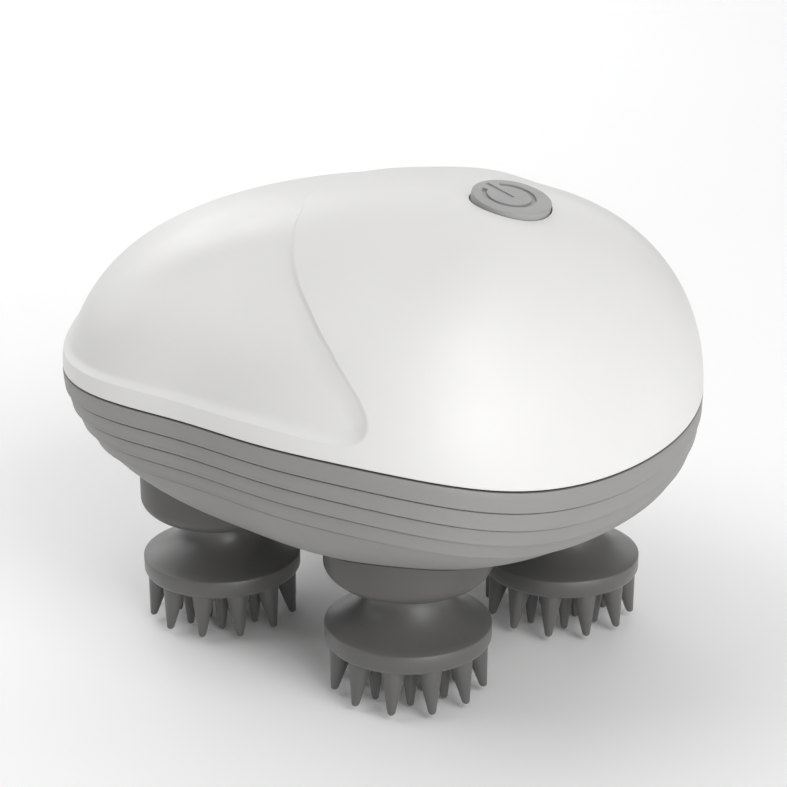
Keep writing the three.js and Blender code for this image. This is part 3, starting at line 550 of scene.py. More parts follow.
recess = {
    "depth": 0.86, "deeper": 0.35, "deeperBelow": 24.0, "softness": 0.06, "wallLead": 0.15,
    # bearing and rise of the hood's edge in degrees, width of the steep wall,
    # share and width of the cove
    "edge": [
        (180.0, 68.4, 0.7, 0.1, 1.6), (171.8, 68.34, 0.7, 0.1, 1.6), (164.8, 68.19, 0.7, 0.1, 1.6),
        (157.7, 67.88, 0.7, 0.1, 1.6), (148.2, 67.3, 0.8, 0.1, 1.6), (137.4, 66.4, 1.0, 0.15, 1.8),
        (124.7, 65.1, 1.3, 0.2, 2.0), (115.0, 62.5, 1.6, 0.2, 2.2), (105.4, 58.5, 1.8, 0.25, 2.6),
        (95.9, 53.2, 1.9, 0.3, 3.0), (89.6, 49.5, 1.8, 0.4, 3.4), (80.7, 44.2, 1.4, 0.5, 3.6),
        (71.7, 38.2, 1.0, 0.65, 3.8), (63.2, 30.6, 0.8, 0.75, 4.0), (59.4, 26.3, 0.8, 0.8, 4.0),
        (56.0, 22.1, 0.8, 0.85, 4.0), (53.5, 18.5, 0.8, 0.9, 4.0), (52.3, 16.1, 0.8, 0.9, 3.8),
        (51.6, 14.4, 0.8, 0.9, 3.6), (51.2, 12.3, 0.8, 0.9, 3.4), (51.2, 10.3, 0.8, 0.9, 3.2),
        (51.7, 8.4, 0.8, 0.9, 3.0), (52.8, 6.8, 0.8, 0.9, 2.8), (54.3, 5.8, 0.7, 0.95, 2.7),
        (55.9, 5.3, 0.6, 1.0, 2.6), (57.7, 5.2, 0.5, 1.0, 2.6), (63.2, 5.4, 0.5, 1.0, 2.5),
        (71.5, 5.8, 0.5, 1.0, 2.4), (86.5, 5.7, 0.5, 1.0, 2.2), (101.1, 5.9, 0.5, 1.0, 2.0),
        (116.7, 5.6, 0.5, 1.0, 1.7), (135.0, 5.5, 0.5, 1.0, 1.4), (180.0, 5.5, 0.5, 1.0, 1.4),
    ],
    # where the rows of the mesh run on past the round corner, as bearing and rise
    "cornerUpper": [(0.0, 17.0), (44.0, 17.0), (50.0, 18.0)],
    "cornerLower": [(0.0, 4.6), (44.0, 4.8), (50.0, 5.0)],
    "cornerEnd": 54,
}

domeMesh = {
    # columns as from, to and step in degrees, closest together at the round corner
    "columns": [(0, 48, 1.2), (48, 62, 0.3), (62, 180, 0.9)],
    # rows below, inside and above the recess, and how they crowd towards its edge
    "rowsBelow": 12, "rowsInside": 60, "rowsAbove": 52,
    "crowdBelow": 1.3, "crowdInside": 0.65, "crowdAbove": 1.6,
    "edgeSteps": 24, "blockSize": 2000, "pastRear": 185,
    # offset and height past the rim gap, then the heights where the outer rows go on
    "rimRound": [(-0.3, 0.0), (-0.08, 0.05)], "rimTop": 0.25, "firstRow": 0.4,
    "innerRows": 26, "innerFrom": 2,
}


# A smooth curve through table rows, by Catmull-Rom pieces.
def smoothThrough(table, steps):
    knots = np.array([table[0]] + table + [table[-1]], float)
    knots[0] = 2 * knots[1] - knots[2]
    knots[-1] = 2 * knots[-2] - knots[-3]
    share = np.linspace(0, 1, steps, endpoint=False)[:, None]
    pieces = []
    for a, b, c, d in zip(knots, knots[1:], knots[2:], knots[3:]):
        pieces.append(0.5 * (2 * b + (c - a) * share + (2 * a - 5 * b + 4 * c - d) * share ** 2
                             + (3 * b - a - 3 * c + d) * share ** 3))
    return np.concatenate(pieces + [knots[-2:-1]])


def insideLoop(bearing, rise, loop):
    inside = np.zeros(bearing.shape, bool)
    for (b0, r0), (b1, r1) in zip(loop, np.roll(loop, -1, axis=0)):
        if r0 == r1:
            continue
        crosses = (r0 > rise) != (r1 > rise)
        inside ^= crosses & (bearing < (b1 - b0) * (rise - r0) / (r1 - r0) + b0)
    return inside


def smoothStep(value):
    share = np.clip(value, 0, 1)
    return share ** 3 * (share * (6 * share - 15) + 10)


# How far each point of the dome lies inside the recess, in mm, and which edge point is nearest.
def recessDistance(bearing, rise, edge):
    line = domePoint(np.radians(edge[:, 0]), np.radians(edge[:, 1]))
    points = domePoint(bearing, rise).reshape(-1, 3)
    start, span = line[:-1], line[1:] - line[:-1]
    length = np.maximum(np.sum(span ** 2, -1), 1e-9)
    nearest = np.empty(len(points), int)
    distance = np.empty(len(points))
    for begin in range(0, len(points), domeMesh["blockSize"]):
        end = begin + domeMesh["blockSize"]
        block = points[begin:end, None]
        share = np.clip(np.sum((block - start) * span, -1) / length, 0, 1)
        gaps = np.linalg.norm(block - start - share[..., None] * span, axis=-1)
        nearest[begin:end] = gaps.argmin(1)
        distance[begin:end] = gaps.min(1)
    rear = domeMesh["pastRear"]
    loop = np.concatenate([edge[:, :2], [[rear, edge[-1, 1]], [rear, edge[0, 1]]]])
    inside = insideLoop(np.degrees(bearing).reshape(-1), np.degrees(rise).reshape(-1), loop)
    signed = np.where(inside, distance, -distance)
    return signed.reshape(bearing.shape), nearest.reshape(bearing.shape)


# The edge of the recess from its round corner on, led on past the corner towards the nose.
def edgeFrom(rows, cornerRows):
    beyond = [tuple(row[:2]) for row in rows if row[0] > recess["cornerEnd"]]
    return np.array(cornerRows + beyond).T


def domeRows():
    edge = smoothThrough(recess["edge"], domeMesh["edgeSteps"])
    columns = [np.arange(*span) for span in domeMesh["columns"]]
    bearings = np.radians(np.concatenate(columns + [[180]]))
    degrees = np.degrees(bearings)
    corner = edge[:, 0].argmin()
    upperRise = np.interp(degrees, *edgeFrom(edge[corner::-1], recess["cornerUpper"]))
    lowerRise = np.interp(degrees, *edgeFrom(edge[corner:], recess["cornerLower"]))
    below, inside, above = (np.linspace(0, 1, domeMesh[zone] + 1)
                            for zone in ("rowsBelow", "rowsInside", "rowsAbove"))
    wave, crowd = np.cos(math.pi * inside), domeMesh["crowdInside"]
    below = 1 - (1 - below) ** domeMesh["crowdBelow"]
    inside = 0.5 - 0.5 * wave * (1 - crowd + crowd * np.abs(wave))
    above = above ** domeMesh["crowdAbove"]
    rises = []
    for low, high, steps in [(0 * lowerRise, lowerRise, below), (lowerRise, upperRise, inside),
                             (upperRise, 0 * upperRise + 90, above)]:
        rises += [low + (high - low) * step for step in steps[:-1]]
    rises = np.radians(np.stack(rises + [0 * degrees + 90]))
    grid = np.broadcast_to(bearings, rises.shape)
    inward, nearest = recessDistance(grid, rises, edge)
    wallWidth, coveShare, coveWidth = edge[nearest, 2:].transpose(2, 0, 1)
    wall = smoothStep((inward + recess["wallLead"] * wallWidth) / wallWidth)
    eased = (inward + np.sqrt(inward ** 2 + recess["softness"] ** 2)) / 2
    cove = 1 - (1 - np.clip(eased / coveWidth, 0, 1)) ** 2
    depth = recess["depth"] * ((1 - coveShare) * wall + coveShare * cove)
    depth *= 1 + recess["deeper"] * np.exp(-(np.degrees(rises) / recess["deeperBelow"]) ** 2)
    return bearings, domePoint(grid, rises, -depth)


def makeHood():
    bearings, outer = domeRows()
    rim = bodyForm["rimGap"]
    outerRows = [lifted(domePoint(bearings, 0, offset), rim + height)
                 for offset, height in domeMesh["rimRound"]]
    outerRows.append(lifted(outer[0], rim + domeMesh["rimTop"]))
    outerRows += [row for row in outer[1:]
                  if row[0][2] > outer[0][0][2] + rim + domeMesh["firstRow"]]
    innerRises = np.radians(np.concatenate(
        [[0], np.linspace(domeMesh["innerFrom"], 90, domeMesh["innerRows"])]))
    innerRows = [domePoint(bearings, rise, -bodyForm["hoodWall"]) for rise in innerRises]
    innerRows[0] = lifted(innerRows[0], rim)
    return mirroredBody("domeShell", innerRows[::-1] + outerRows)


button = {
    "x": 33.95, "height": 87.5, "tilt": math.radians(12.9), "radius": 7.0, "gap": 0.25,
    "seatDepth": 5.6, "seatTop": 2, "seatWidth": 2.4, "holeFrom": -12, "holeTo": 6, "edge": 0.14,
    "symbolRadius": 4.35, "symbolWidth": 0.9, "symbolDepth": 0.36, "symbolGap": math.radians(49),
    "symbolX": -0.65, "barFrom": -0.85, "barTo": 5.35, "barMiddle": 0.43, "barHeight": 1.3,
    "gasketGap": 0.1, "gasketHeight": 0.9, "flangeInset": 1, "flangeHeight": 1,
    "stemRadius": 1.8, "stemEnd": 3,
}
buttonPlace = (Matrix.Translation((button["x"] * mm, 0, button["height"] * mm))
               @ Matrix.Rotation(button["tilt"], 4, "Y"))


def atButton(piece):
    piece.data.transform(buttonPlace)
    return piece


bosses = {
    "caseScrews": [(7.0, 36.0), (7.0, -36.0), (48.0, 13.0), (48.0, -13.0)],
    "jointHeight": 56.0, "jointGap": 0.3, "screwSeat": 44.0, "bossRadius": 4.6, "postRadius": 3.6,
    "headRadius": 2.6, "headHeight": 1.8, "headGap": 0.1, "headPlay": 0.3, "headDome": 0.9,
    "screwRadius": 1.4, "screwBite": 8.0, "screwTip": 1.5, "screwPlay": 0.1,
    "screwSlot": (2.6, 0.55, 1.9), "firstTurn": 0.4, "nextTurn": 1.1,
    "pillars": [(38.0, 0.0), (7.0, 24.0), (7.0, -24.0)], "pillarRadius": 3.2, "pillarBore": 5,
    "basePlateBottom": 35.6, "plateGap": 0.3, "sealRadius": 6.0, "sealBottom": 30.81,
    "sealHeight": 2.5, "sealPlay": 0.1, "sealWall": 2, "shaftRadius": 2.0, "shaftPlay": 1,
    # ends of the tools, clear of what they cut, and how far inside the skin the fillers stop
    "toolFoot": 10, "shaftTop": 40, "pilotFrom": 50, "screwTop": 60, "postTop": 90,
    "postInset": -1.6, "bossInset": -1.0,
}


def middleOf(node):
    low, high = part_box(node)
    return (low[0] + high[0]) / 2 / mm, (low[1] + high[1]) / 2 / mm


headPlaces = {corner: middleOf("massage_head_" + corner)
              for corner in ("front_left", "front_right", "rear_left", "rear_right")}


# Closed form of the whole body at an offset, used to trim what meets it.
def trimForm(name, offset, columns=121):
    bearings = np.linspace(0, math.pi, columns)
    rows = [domePoint(bearings, rise, offset) for rise in np.linspace(math.pi / 2, 0, 40)]
    return mirroredBody(name, rows + bellyRows(bearings, offset))


def fitInside(pieces, name, offset):
    filler = join(pieces, name)
    carve(filler, trimForm("trim", offset), "INTERSECT")
    return filler


def makeDomeShell():
    shell = makeHood()
    print("dome shell: %d faces" % len(shell.data.polygons))
    hole = button["radius"] + button["gap"]
    seat = atButton(rod(
        0, 0, hole + button["seatWidth"], -button["seatDepth"], button["seatTop"], 96))
    postFoot = bosses["jointHeight"] + bosses["jointGap"]
    posts = [rod(x, y, bosses["postRadius"], postFoot, bosses["postTop"])
             for x, y in bosses["caseScrews"]]
    carve(shell, fitInside([seat] + posts, "posts", bosses["postInset"]), "UNION")
    tools = [atButton(rod(0, 0, hole, button["holeFrom"], button["holeTo"], 128))]
    pilotRadius = bosses["screwRadius"] + bosses["screwPlay"]
    pilotTop = bosses["jointHeight"] + bosses["screwBite"] + 1
    tools += [rod(x, y, pilotRadius, bosses["pilotFrom"], pilotTop, 24)
              for x, y in bosses["caseScrews"]]
    carve(shell, join(tools, "holes"), "DIFFERENCE")
    smoothBy(shell, 40)
    dress(shell, "case", "white_shell", "top_shell")


# belly with its lapped bands

belly = {
    "ledges": [3.64, 7.09, 10.55, 14.25], "stretch": 0.097,
    # distance past the ledge and offset of the surface there
    "ledgeProfile": [(-0.42, 0.15), (-0.2, 0.17), (-0.07, 0.15), (0.0, 0.08), (0.0, -0.3),
                     (0.0, -0.95), (0.62, -0.95), (0.36, -0.45), (0.36, -0.26), (0.43, -0.19),
                     (0.56, -0.19)],
    "grooveWidths": [1.0, 1.2, 1.4, 1.7], "lapTop": -0.19, "lapFoot": 0.15, "lapPower": 1.4,
    # rows on one lap and how far they keep from the ledges, then the rows below the last ledge
    "lapRows": 4, "afterLedge": 1.3, "beforeLedge": 0.6, "lastFrom": 1.4, "lastRows": 42,
    "fadeRate": 4,
    # inset and drop of the rim's rounded rows
    "rimRound": [(-0.3, 0.0), (-0.06, 0.04), (0.02, 0.22)], "columns": 201, "innerRows": 30,
    "innerDrop": 3,
    "padX": 7.0, "padRadius": 8.0, "padHeight": 28.218,
    "contacts": [-3.5, 3.5], "contactRadius": 2.0, "contactPlay": 0.1, "pinRadius": 0.8,
    "contactSunk": 0.05, "contactTop": 0.7, "contactBore": 0.8, "pinLength": 4,
    "contactRound": [(0.3, 0.0), (0.1, 0.06), (0.0, 0.25)], "pinToolFoot": 20,
}


def reachAt(bearings, distances):
    reaches = np.linspace(1, 0, 1201)
    points = bellyPoint(bearings[:, None], reaches[None, :])
    steps = np.linalg.norm(np.diff(points, axis=1), axis=-1)
    travelled = np.concatenate([np.zeros((len(bearings), 1)), np.cumsum(steps, axis=1)], axis=1)
    return np.array([np.interp(distance, walk, reaches)
                     for distance, walk in zip(distances, travelled)])


def bellyRows(bearings, offset):
    rows = []
    stretch = 1 + belly["stretch"] * np.cos(2 * bearings)
    previous = 0.0
    for ledge, width in zip(belly["ledges"], belly["grooveWidths"]):
        for distance in np.linspace(
                previous + belly["afterLedge"], ledge - belly["beforeLedge"], belly["lapRows"]):
            share = (distance - previous) / (ledge - previous)
            top = belly["lapTop"] if previous else 0
            lap = top + (belly["lapFoot"] - top) * share ** belly["lapPower"]
            reach = reachAt(bearings, distance * stretch)
            rows.append(bellyPoint(bearings, reach, offset + lap))
        for past, proud in belly["ledgeProfile"]:
            reach = reachAt(bearings, ledge * stretch + past * (width if past > 0 else 1))
            rows.append(bellyPoint(bearings, reach, offset + proud))
        previous = ledge
    start = reachAt(bearings, belly["ledges"][-1] * stretch + belly["lastFrom"])
    for share in np.linspace(0, 1, belly["lastRows"]):
        sunk = belly["lapTop"] * max(0.0, 1 - share * belly["fadeRate"])
        rows.append(bellyPoint(bearings, start * (1 - share), offset + sunk))
    return rows


def makeBellyShell():
    bearings = np.linspace(0, math.pi, belly["columns"])
    rim = bodyForm["rimGap"]
    outer = [lifted(bellyPoint(bearings, 1.0, inset), -rim - drop)
             for inset, drop in belly["rimRound"]]
    outer += bellyRows(bearings, 0.0)
    inner = [bellyPoint(bearings, share, -bodyForm["wall"])
             for share in np.linspace(0, 1, belly["innerRows"])]
    inner[-1] = lifted(inner[-1], -rim)
    inner[-2] = lifted(bellyPoint(bearings, 1.0, -bodyForm["wall"]), -rim - belly["innerDrop"])
    shell = mirroredBody("bellyShell", inner + outer)
    print("belly shell: %d faces" % len(shell.data.polygons))
    foot, plateFoot = bosses["toolFoot"], bosses["basePlateBottom"] - bosses["plateGap"]
    fillers = [rod(x, y, bosses["sealRadius"] + bosses["sealWall"], foot, plateFoot)
               for x, y in headPlaces.values()]
    fillers += [rod(x, y, bosses["pillarRadius"], foot, plateFoot, 32)
                for x, y in bosses["pillars"]]
    fillers += [rod(x, y, bosses["bossRadius"], foot, bosses["jointHeight"])
                for x, y in bosses["caseScrews"]]
    carve(shell, fitInside(fillers, "bosses", bosses["bossInset"]), "UNION")
    sealTop = bosses["sealBottom"] + bosses["sealHeight"] + bosses["sealPlay"]
    sealBore = [(bosses["sealRadius"] + bosses["sealPlay"], sealTop),
                (bosses["shaftRadius"] + bosses["shaftPlay"], bosses["shaftTop"])]
    screwBore = [(bosses["headRadius"] + bosses["headPlay"], bosses["screwSeat"]),
                 (bosses["screwRadius"] + bosses["screwPlay"], bosses["screwTop"])]
    tools = [steppedRod(x, y, sealBore, foot) for x, y in headPlaces.values()]
    tools += [steppedRod(x, y, screwBore, foot) for x, y in bosses["caseScrews"]]
    tools += [rod(x, y, bosses["screwRadius"] + bosses["screwPlay"],
                  bosses["basePlateBottom"] - bosses["pillarBore"], bosses["shaftTop"], 24)
              for x, y in bosses["pillars"]]
    tools.append(rod(belly["padX"], 0, belly["padRadius"], foot, belly["padHeight"], 96))
    carve(shell, join(tools, "drills"), "DIFFERENCE")
    play, pad = belly["contactPlay"], belly["padHeight"]
    pinBore = [(belly["contactRadius"] + play, pad + belly["contactBore"]),
               (belly["pinRadius"] + play, pad + belly["pinLength"])]
    pins = [steppedRod(belly["padX"], y, pinBore, belly["pinToolFoot"], 32)
            for y in belly["contacts"]]
    carve(shell, join(pins, "pinDrills"), "DIFFERENCE")
    smoothBy(shell, 40)
    dress(shell, "case", "grey_shell", "lower_shell")


seal = {"inner": -2.0, "outer": -0.34, "half": 0.15, "round": 0.08, "columns": 241}


def makeSealRing():
    bearings = np.linspace(0, math.pi, seal["columns"])
    shoulder = seal["outer"] - seal["round"]
    low = seal["half"] - seal["round"]
    section = [(seal["inner"], -seal["half"]), (shoulder, -seal["half"]), (seal["outer"], -low),
               (seal["outer"], low), (shoulder, seal["half"]), (seal["inner"], seal["half"])]
    rows = [lifted(domePoint(bearings, 0, offset), rise) for offset, rise in section + section[:1]]
    ring = mirroredBody("sealRing", rows)
    smoothBy(ring, 50)
    dress(ring, "case", "seal_rubber", "case_seal")


makeDomeShell()
makeBellyShell()
makeSealRing()
print("body done")


# massage heads: disc with trumpet neck and three rings of oblique teeth

head = {
    "bottom": 9.62, "radius": 15.0, "bandTop": 13.1, "neckRadius": 7.3, "neckHeight": 21.4,
    "top": 25.5, "bore": 5.1, "boreFloor": 12.14, "flare": 3.1, "chamfer": 0.6, "chamferShare": 0.6,
    "ease": 0.2, "footInset": 0.08, "bandEase": 0.15, "bandRound": (0.06, 0.03),
    "trumpetInset": 0.25, "lift": 0.12,
    "toothYaw": math.radians(2.22), "toothSunk": 0.5, "tipRound": 0.95,
    # how many, where the root and the tip stand, root and tip radius, height of the tip
    "teeth": [(12, 12.1, 13.85, 2.4, 0.62, 1.2), (8, 8.64, 8.64, 1.85, 0.58, 0.4),
              (4, 4.0, 4.0, 1.6, 0.58, 0.0)],
}


# One tooth: a cone whose small end is pushed outwards and rounded over.
def makeTooth(rootAt, tipAt, rootRadius, tipRadius, tipHeight):
    root = head["bottom"] + head["toothSunk"]
    height = root - tipHeight
    deselectAll()
    bpy.ops.mesh.primitive_cone_add(
        vertices=24, radius1=tipRadius * mm, radius2=rootRadius * mm, depth=height * mm,
        location=(rootAt * mm, 0, (root + tipHeight) / 2 * mm))
    tooth = bpy.context.object
    settle(tooth)
    editAll(tooth)
    bpy.ops.mesh.select_all(action="DESELECT")
    leaveEdit()
    for face in tooth.data.polygons:
        face.select = face.normal.z < -0.9
    bpy.ops.object.mode_set(mode="EDIT")
    bpy.ops.mesh.select_mode(type="FACE")
    bpy.ops.transform.translate(value=((tipAt - rootAt) * mm, 0, 0))
    bpy.ops.mesh.bevel(offset=tipRadius * head["tipRound"] * mm, segments=5, profile=0.5,
                       affect="EDGES", offset_type="OFFSET", clamp_overlap=True)
    leaveEdit()
    return tooth


def makeMassageHead():
    radius, neck, bore = head["radius"], head["neckRadius"], head["bore"]
    bottom, band, top = head["bottom"], head["bandTop"], head["top"]
    cut, ease, lift = head["chamfer"], head["ease"], head["lift"]
    inset, drop = head["bandRound"]
    trumpet = [(neck + (radius - head["trumpetInset"] - neck) * (1 - share) ** head["flare"],
                band + lift + (head["neckHeight"] - band - lift) * share)
               for share in np.linspace(0, 1, 18)]
    profile = [(0, bottom), (radius - cut - ease, bottom),
               (radius - cut * head["chamferShare"], bottom + lift),
               (radius - head["footInset"], bottom + cut), (radius, bottom + cut + ease),
               (radius, band - head["bandEase"]), (radius - inset, band - drop), *trumpet,
               (neck, top - ease), (neck - ease, top), (bore, top), (bore, head["boreFloor"]),
               (0, head["boreFloor"])]
    body = turned("massageHead", profile, 112)
    teeth = []
    for count, rootAt, tipAt, rootRadius, tipRadius, tipHeight in head["teeth"]:
        model = makeTooth(rootAt, tipAt, rootRadius, tipRadius, tipHeight)
        ringTeeth = [copyOf(model, "tooth", turn=head["toothYaw"] + index * 2 * math.pi / count)
                     for index in range(count)]
        bpy.data.objects.remove(model)
        teeth.append(join(ringTeeth, "toothRing"))
    for ringOfTeeth in teeth:
        carve(body, ringOfTeeth, "UNION")
    smoothBy(body, 38)
    return body


# dark cups that hide the necks, trimmed to the belly

collar = {
    "radius": 15.1, "wall": 2.0, "top": 44, "shoulder": 25.2, "bottom": 21.3, "opening": 8.2,
    "lip": 1.4, "lipHeight": 0.25, "lipRound": (0.08, 0.06), "cupFrom": 0.04, "gap": 0.1,
}


def makeCollarCup():
    opening, reach = collar["opening"], collar["radius"] - collar["opening"]
    drop = collar["shoulder"] - collar["bottom"]
    outside = [(opening + reach * math.sin(share * math.pi / 2),
                collar["shoulder"] - drop * math.cos(share * math.pi / 2))
               for share in np.linspace(collar["cupFrom"], 1, 20)]
    inside = [(opening + (reach - collar["wall"]) * math.cos(share * math.pi / 2),
               collar["shoulder"] - (drop - collar["lip"]) * math.sin(share * math.pi / 2))
              for share in np.linspace(0, 1, 10)]
    across, up = collar["lipRound"]
    lip = [(opening, collar["bottom"] + collar["lip"]),
           (opening, collar["bottom"] + collar["lipHeight"]),
           (opening + across, collar["bottom"] + up)]
    profile = [*outside, (collar["radius"], collar["top"]),
               (collar["radius"] - collar["wall"], collar["top"]), *inside, *lip]
    profile.append(profile[0])
    return turned("collarCup", profile, 112)


def makeCollar(cup, trim, name, x, y):
    piece = copyOf(cup, "headCollar_" + name, (x, y, 0))
    carve(piece, copyOf(trim, "trim"), "DIFFERENCE")
    smoothBy(piece, 38)
    dress(piece, "case", "dark_plastic", "head_collar_" + name)


headModel = makeMassageHead()
print("massage head: %d faces" % len(headModel.data.polygons))
cupModel = makeCollarCup()
bodyTrim = trimForm("bodyTrim", collar["gap"], 181)
for name, (x, y) in headPlaces.items():
    piece = copyOf(headModel, "massageHead_" + name, (x, y, 0))
    dress(piece, "head_" + name, "dark_silicone", "massage_head_" + name)
    makeCollar(cupModel, bodyTrim, name, x, y)
for model in (headModel, cupModel, bodyTrim):
    bpy.data.objects.remove(model)
print("heads and collars done")


# power button with its sunk sign

def makeSymbolTool():
    half = button["symbolWidth"] / 2
    low, high = -button["symbolDepth"], 1.0
    profile = [(button["symbolRadius"] - half, low), (button["symbolRadius"] + half, low),
               (button["symbolRadius"] + half, high), (button["symbolRadius"] - half, high)]
    profile.append(profile[0])
    ring = turned("ring", profile, 96)
    reach = button["symbolRadius"] * 2
    deselectAll()
    bpy.ops.mesh.primitive_cylinder_add(
        vertices=3, radius=reach * mm, depth=4 * mm, location=(-reach * mm, 0, 0))
    wedge = bpy.context.object
    settle(wedge)
    spread = reach * math.tan(button["symbolGap"] / 2)
    corners = [(0.0, 0.0), (-reach, spread), (-reach, -spread)]
    for vertex in wedge.data.vertices:
        corner = corners[(vertex.index // 2) % 3]
        vertex.co.x, vertex.co.y = corner[0] * mm, corner[1] * mm
    mergeAndFaceOut(wedge)
    carve(ring, wedge, "DIFFERENCE")
    return ring


def makeBar():
    length = button["barTo"] - button["barFrom"]
    deselectAll()
    middle = -(button["barFrom"] + length / 2)
    bpy.ops.mesh.primitive_cube_add(size=mm, location=(middle * mm, 0, button["barMiddle"] * mm))
    bar = bpy.context.object
    bar.scale = (length, button["symbolWidth"], button["barHeight"])
    settle(bar)
    return bar


def makePowerButton():
    flangeTop = -button["seatDepth"] - button["gasketGap"] - button["gasketHeight"]
    flangeFoot, stemFoot = flangeTop - button["flangeHeight"], flangeTop - button["stemEnd"]
    flangeRadius = button["radius"] + button["gap"] + button["seatWidth"] - button["flangeInset"]
    stem, edge = button["stemRadius"], button["edge"]
    curve = [(button["radius"] - edge + edge * math.cos(a), -edge + edge * math.sin(a))
             for a in np.linspace(0, math.pi / 2, 6)]
    profile = [(0, stemFoot), (stem, stemFoot), (stem, flangeFoot), (flangeRadius, flangeFoot),
               (flangeRadius, flangeTop), (button["radius"], flangeTop), *curve, (0, 0)]
    piece = turned("powerButton", profile, 128)
    for tool in (makeSymbolTool(), makeBar()):
        tool.data.transform(Matrix.Translation((button["symbolX"] * mm, 0, 0)))
        carve(piece, tool, "DIFFERENCE")
    atButton(piece)
    smoothBy(piece, 35)
    dress(piece, "button", "button_grey", "power_button")


# small fasteners and contacts that show from below

def makeCaseScrews():
    bottom = bosses["screwSeat"] - bosses["headHeight"] - bosses["headGap"]
    radius, rise = bosses["headRadius"], bosses["headDome"]
    dome = [(radius * math.sin(a), bottom + rise - rise * math.cos(a))
            for a in np.linspace(0, math.pi / 2, 8)]
    top = bottom + bosses["headHeight"]
    shank = bosses["screwRadius"]
    length = bosses["jointHeight"] + bosses["screwBite"] - bosses["screwSeat"]
    profile = [*dome, (radius, top), (shank, top), (shank, top + length - bosses["screwTip"]),
               (0, top + length)]
    model = turned("caseScrew", profile, 40)
    for turn in (0, 90):
        deselectAll()
        bpy.ops.mesh.primitive_cube_add(size=mm, location=(0, 0, bottom * mm))
        slot = bpy.context.object
        slot.scale = bosses["screwSlot"]
        slot.rotation_euler.z = math.radians(turn)
        settle(slot)
        carve(model, slot, "DIFFERENCE")
    smoothBy(model, 35)
    for index, (x, y) in enumerate(bosses["caseScrews"]):
        turn = bosses["firstTurn"] + index * bosses["nextTurn"]
        screw = copyOf(model, "caseScrew_%d" % (index + 1), (x, y, 0), turn)
        dress(screw, "case", "steel", "case_screw_%d" % (index + 1))
    bpy.data.objects.remove(model)


def makeContacts():
    bottom = belly["padHeight"] + belly["contactSunk"]
    radius, pin = belly["contactRadius"], belly["pinRadius"]
    top = belly["padHeight"] + belly["contactTop"]
    pinTop = top + belly["pinLength"]
    curve = [(radius - inset, bottom + rise) for inset, rise in belly["contactRound"]]
    profile = [(0, bottom), *curve, (radius, top), (pin, top), (pin, pinTop), (0, pinTop)]
    model = turned("chargeContact", profile, 48)
    smoothBy(model, 35)
    for index, y in enumerate(belly["contacts"]):
        contact = copyOf(model, "chargeContact_%d" % (index + 1), (belly["padX"], y, 0))
        dress(contact, "case", "brass", "charge_contact_%d" % (index + 1))
    bpy.data.objects.remove(model)


makePowerButton()
makeCaseScrews()
makeContacts()
print("button, screws and contacts done")


# studio: pale floor that curves up behind, soft lights, the photograph's camera

studio = {
    "floorHalf": 1.6, "backBend": 0.5, "backHeight": 1.8,
    "floorColour": (0.97, 0.97, 0.97), "floorShade": 0.985, "floorGrain": 300.0, "floorPatch": 2.0,
    "floorRoughness": 0.75, "floorSpecular": 0.2, "world": 0.242,
    "eye": (0.24967, -0.24580, 0.17163), "azimuth": 44.83, "elevation": 20.194,
    "lens": 89.54, "sensor": 36.0, "aim": (0, 0, 0.05),
    # place to the right, away and up from the aim, as the camera sees it, then size and power
    "lights": {
        "topBack": ((0.0, 0.7, 0.8), (1.0, 0.8), 2.5),
        "topLeft": ((-0.7, 0.1, 0.8), (0.9, 0.9), 4.1),
        "keyRightHigh": ((0.5, -0.7, 0.75), (0.6, 0.5), 3.6),
        "keyMid": ((0.45, -0.85, 0.3), (0.6, 0.5), 1.6),
        "keyWide": ((0.85, -0.6, 0.25), (0.6, 0.5), 1.4),
        "frontHigh": ((0.0, -0.7, 0.9), (0.8, 0.6), 0.66),
        "frontLow": ((0.15, -1.0, 0.15), (0.9, 0.3), 0.4),
        "frontRightLow": ((0.5, -0.95, 0.1), (0.7, 0.3), 2.4),
        "backLow": ((0.15, 1.0, 0.35), (1.2, 0.5), 1.4),
        "backLeft": ((-0.65, 0.75, 0.35), (1.1, 0.5), 2.8),
    },
}


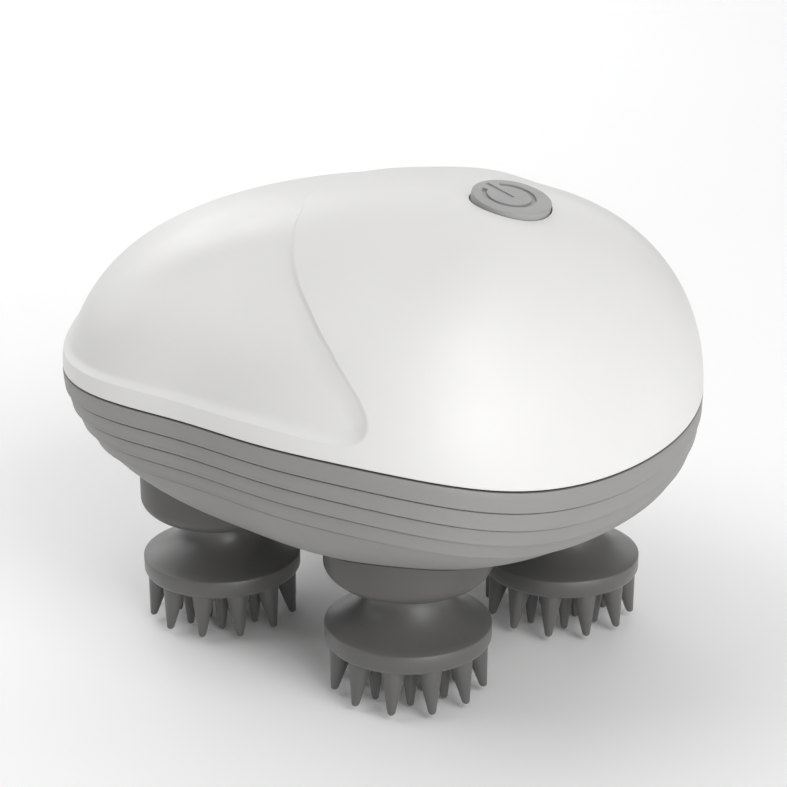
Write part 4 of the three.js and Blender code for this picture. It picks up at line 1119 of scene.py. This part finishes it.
def makeFloor():
    half, bend, tall = studio["floorHalf"], studio["backBend"], studio["backHeight"]
    across = np.linspace(-half, half, 9)
    line = [(-half, 0.0), (half, 0.0)]
    line += [(half + bend * math.sin(a), bend - bend * math.cos(a))
             for a in np.linspace(0.1, math.pi / 2, 12)]
    line.append((half + bend, bend + tall))
    rows = [np.stack([across, 0 * across + along, 0 * across + high], -1) / mm
            for along, high in line]
    floor = sheetThrough("floor", rows)
    floor.data.transform(Matrix.Rotation(math.radians(studio["azimuth"]), 4, "Z"))
    material, nodes, link, shader, place = startMaterial("floorPaper")
    grain = nodes.new("ShaderNodeGroup")
    grain.node_tree = mouldGrain
    grain.inputs["Grain Scale"].default_value = studio["floorGrain"]
    grain.inputs["Patch Scale"].default_value = studio["floorPatch"]
    link(place, grain.inputs["Place"])
    shade = tuple(value * studio["floorShade"] for value in studio["floorColour"])
    link(blendColours(nodes, link, grain.outputs["Patches"], studio["floorColour"], shade),
         shader.inputs["Base Color"])
    shader.inputs["Roughness"].default_value = studio["floorRoughness"]
    shader.inputs["Specular IOR Level"].default_value = studio["floorSpecular"]
    floor.data.materials.append(material)
    smoothBy(floor, 40)


def addLight(name, offset, size, power):
    aim = Vector(studio["aim"])
    outward = Matrix.Rotation(math.radians(studio["azimuth"]), 3, "Z") @ Vector(offset)
    deselectAll()
    bpy.ops.object.light_add(type="AREA", location=aim + outward)
    lamp = bpy.context.object
    lamp.name = name
    lamp.data.shape = "RECTANGLE"
    lamp.data.size, lamp.data.size_y = size
    lamp.data.energy = power
    lamp.rotation_euler = outward.to_track_quat("Z", "Y").to_euler()


def makeStudio():
    makeFloor()
    for name, (offset, size, power) in studio["lights"].items():
        addLight(name, offset, size, power)
    world = bpy.data.worlds.new("studio")
    world.use_nodes = True
    world.node_tree.nodes["Background"].inputs["Color"].default_value = (1, 1, 1, 1)
    world.node_tree.nodes["Background"].inputs["Strength"].default_value = studio["world"]
    bpy.context.scene.world = world
    bpy.context.scene.view_settings.view_transform = "Standard"


def makeCamera():
    deselectAll()
    turn = (math.radians(90 - studio["elevation"]), 0, math.radians(studio["azimuth"]))
    bpy.ops.object.camera_add(location=studio["eye"], rotation=turn)
    camera = bpy.context.object
    camera.data.lens = studio["lens"]
    camera.data.sensor_width = studio["sensor"]
    camera.data.clip_start = 0.01
    bpy.context.scene.camera = camera


makeStudio()
makeCamera()
print("studio done")
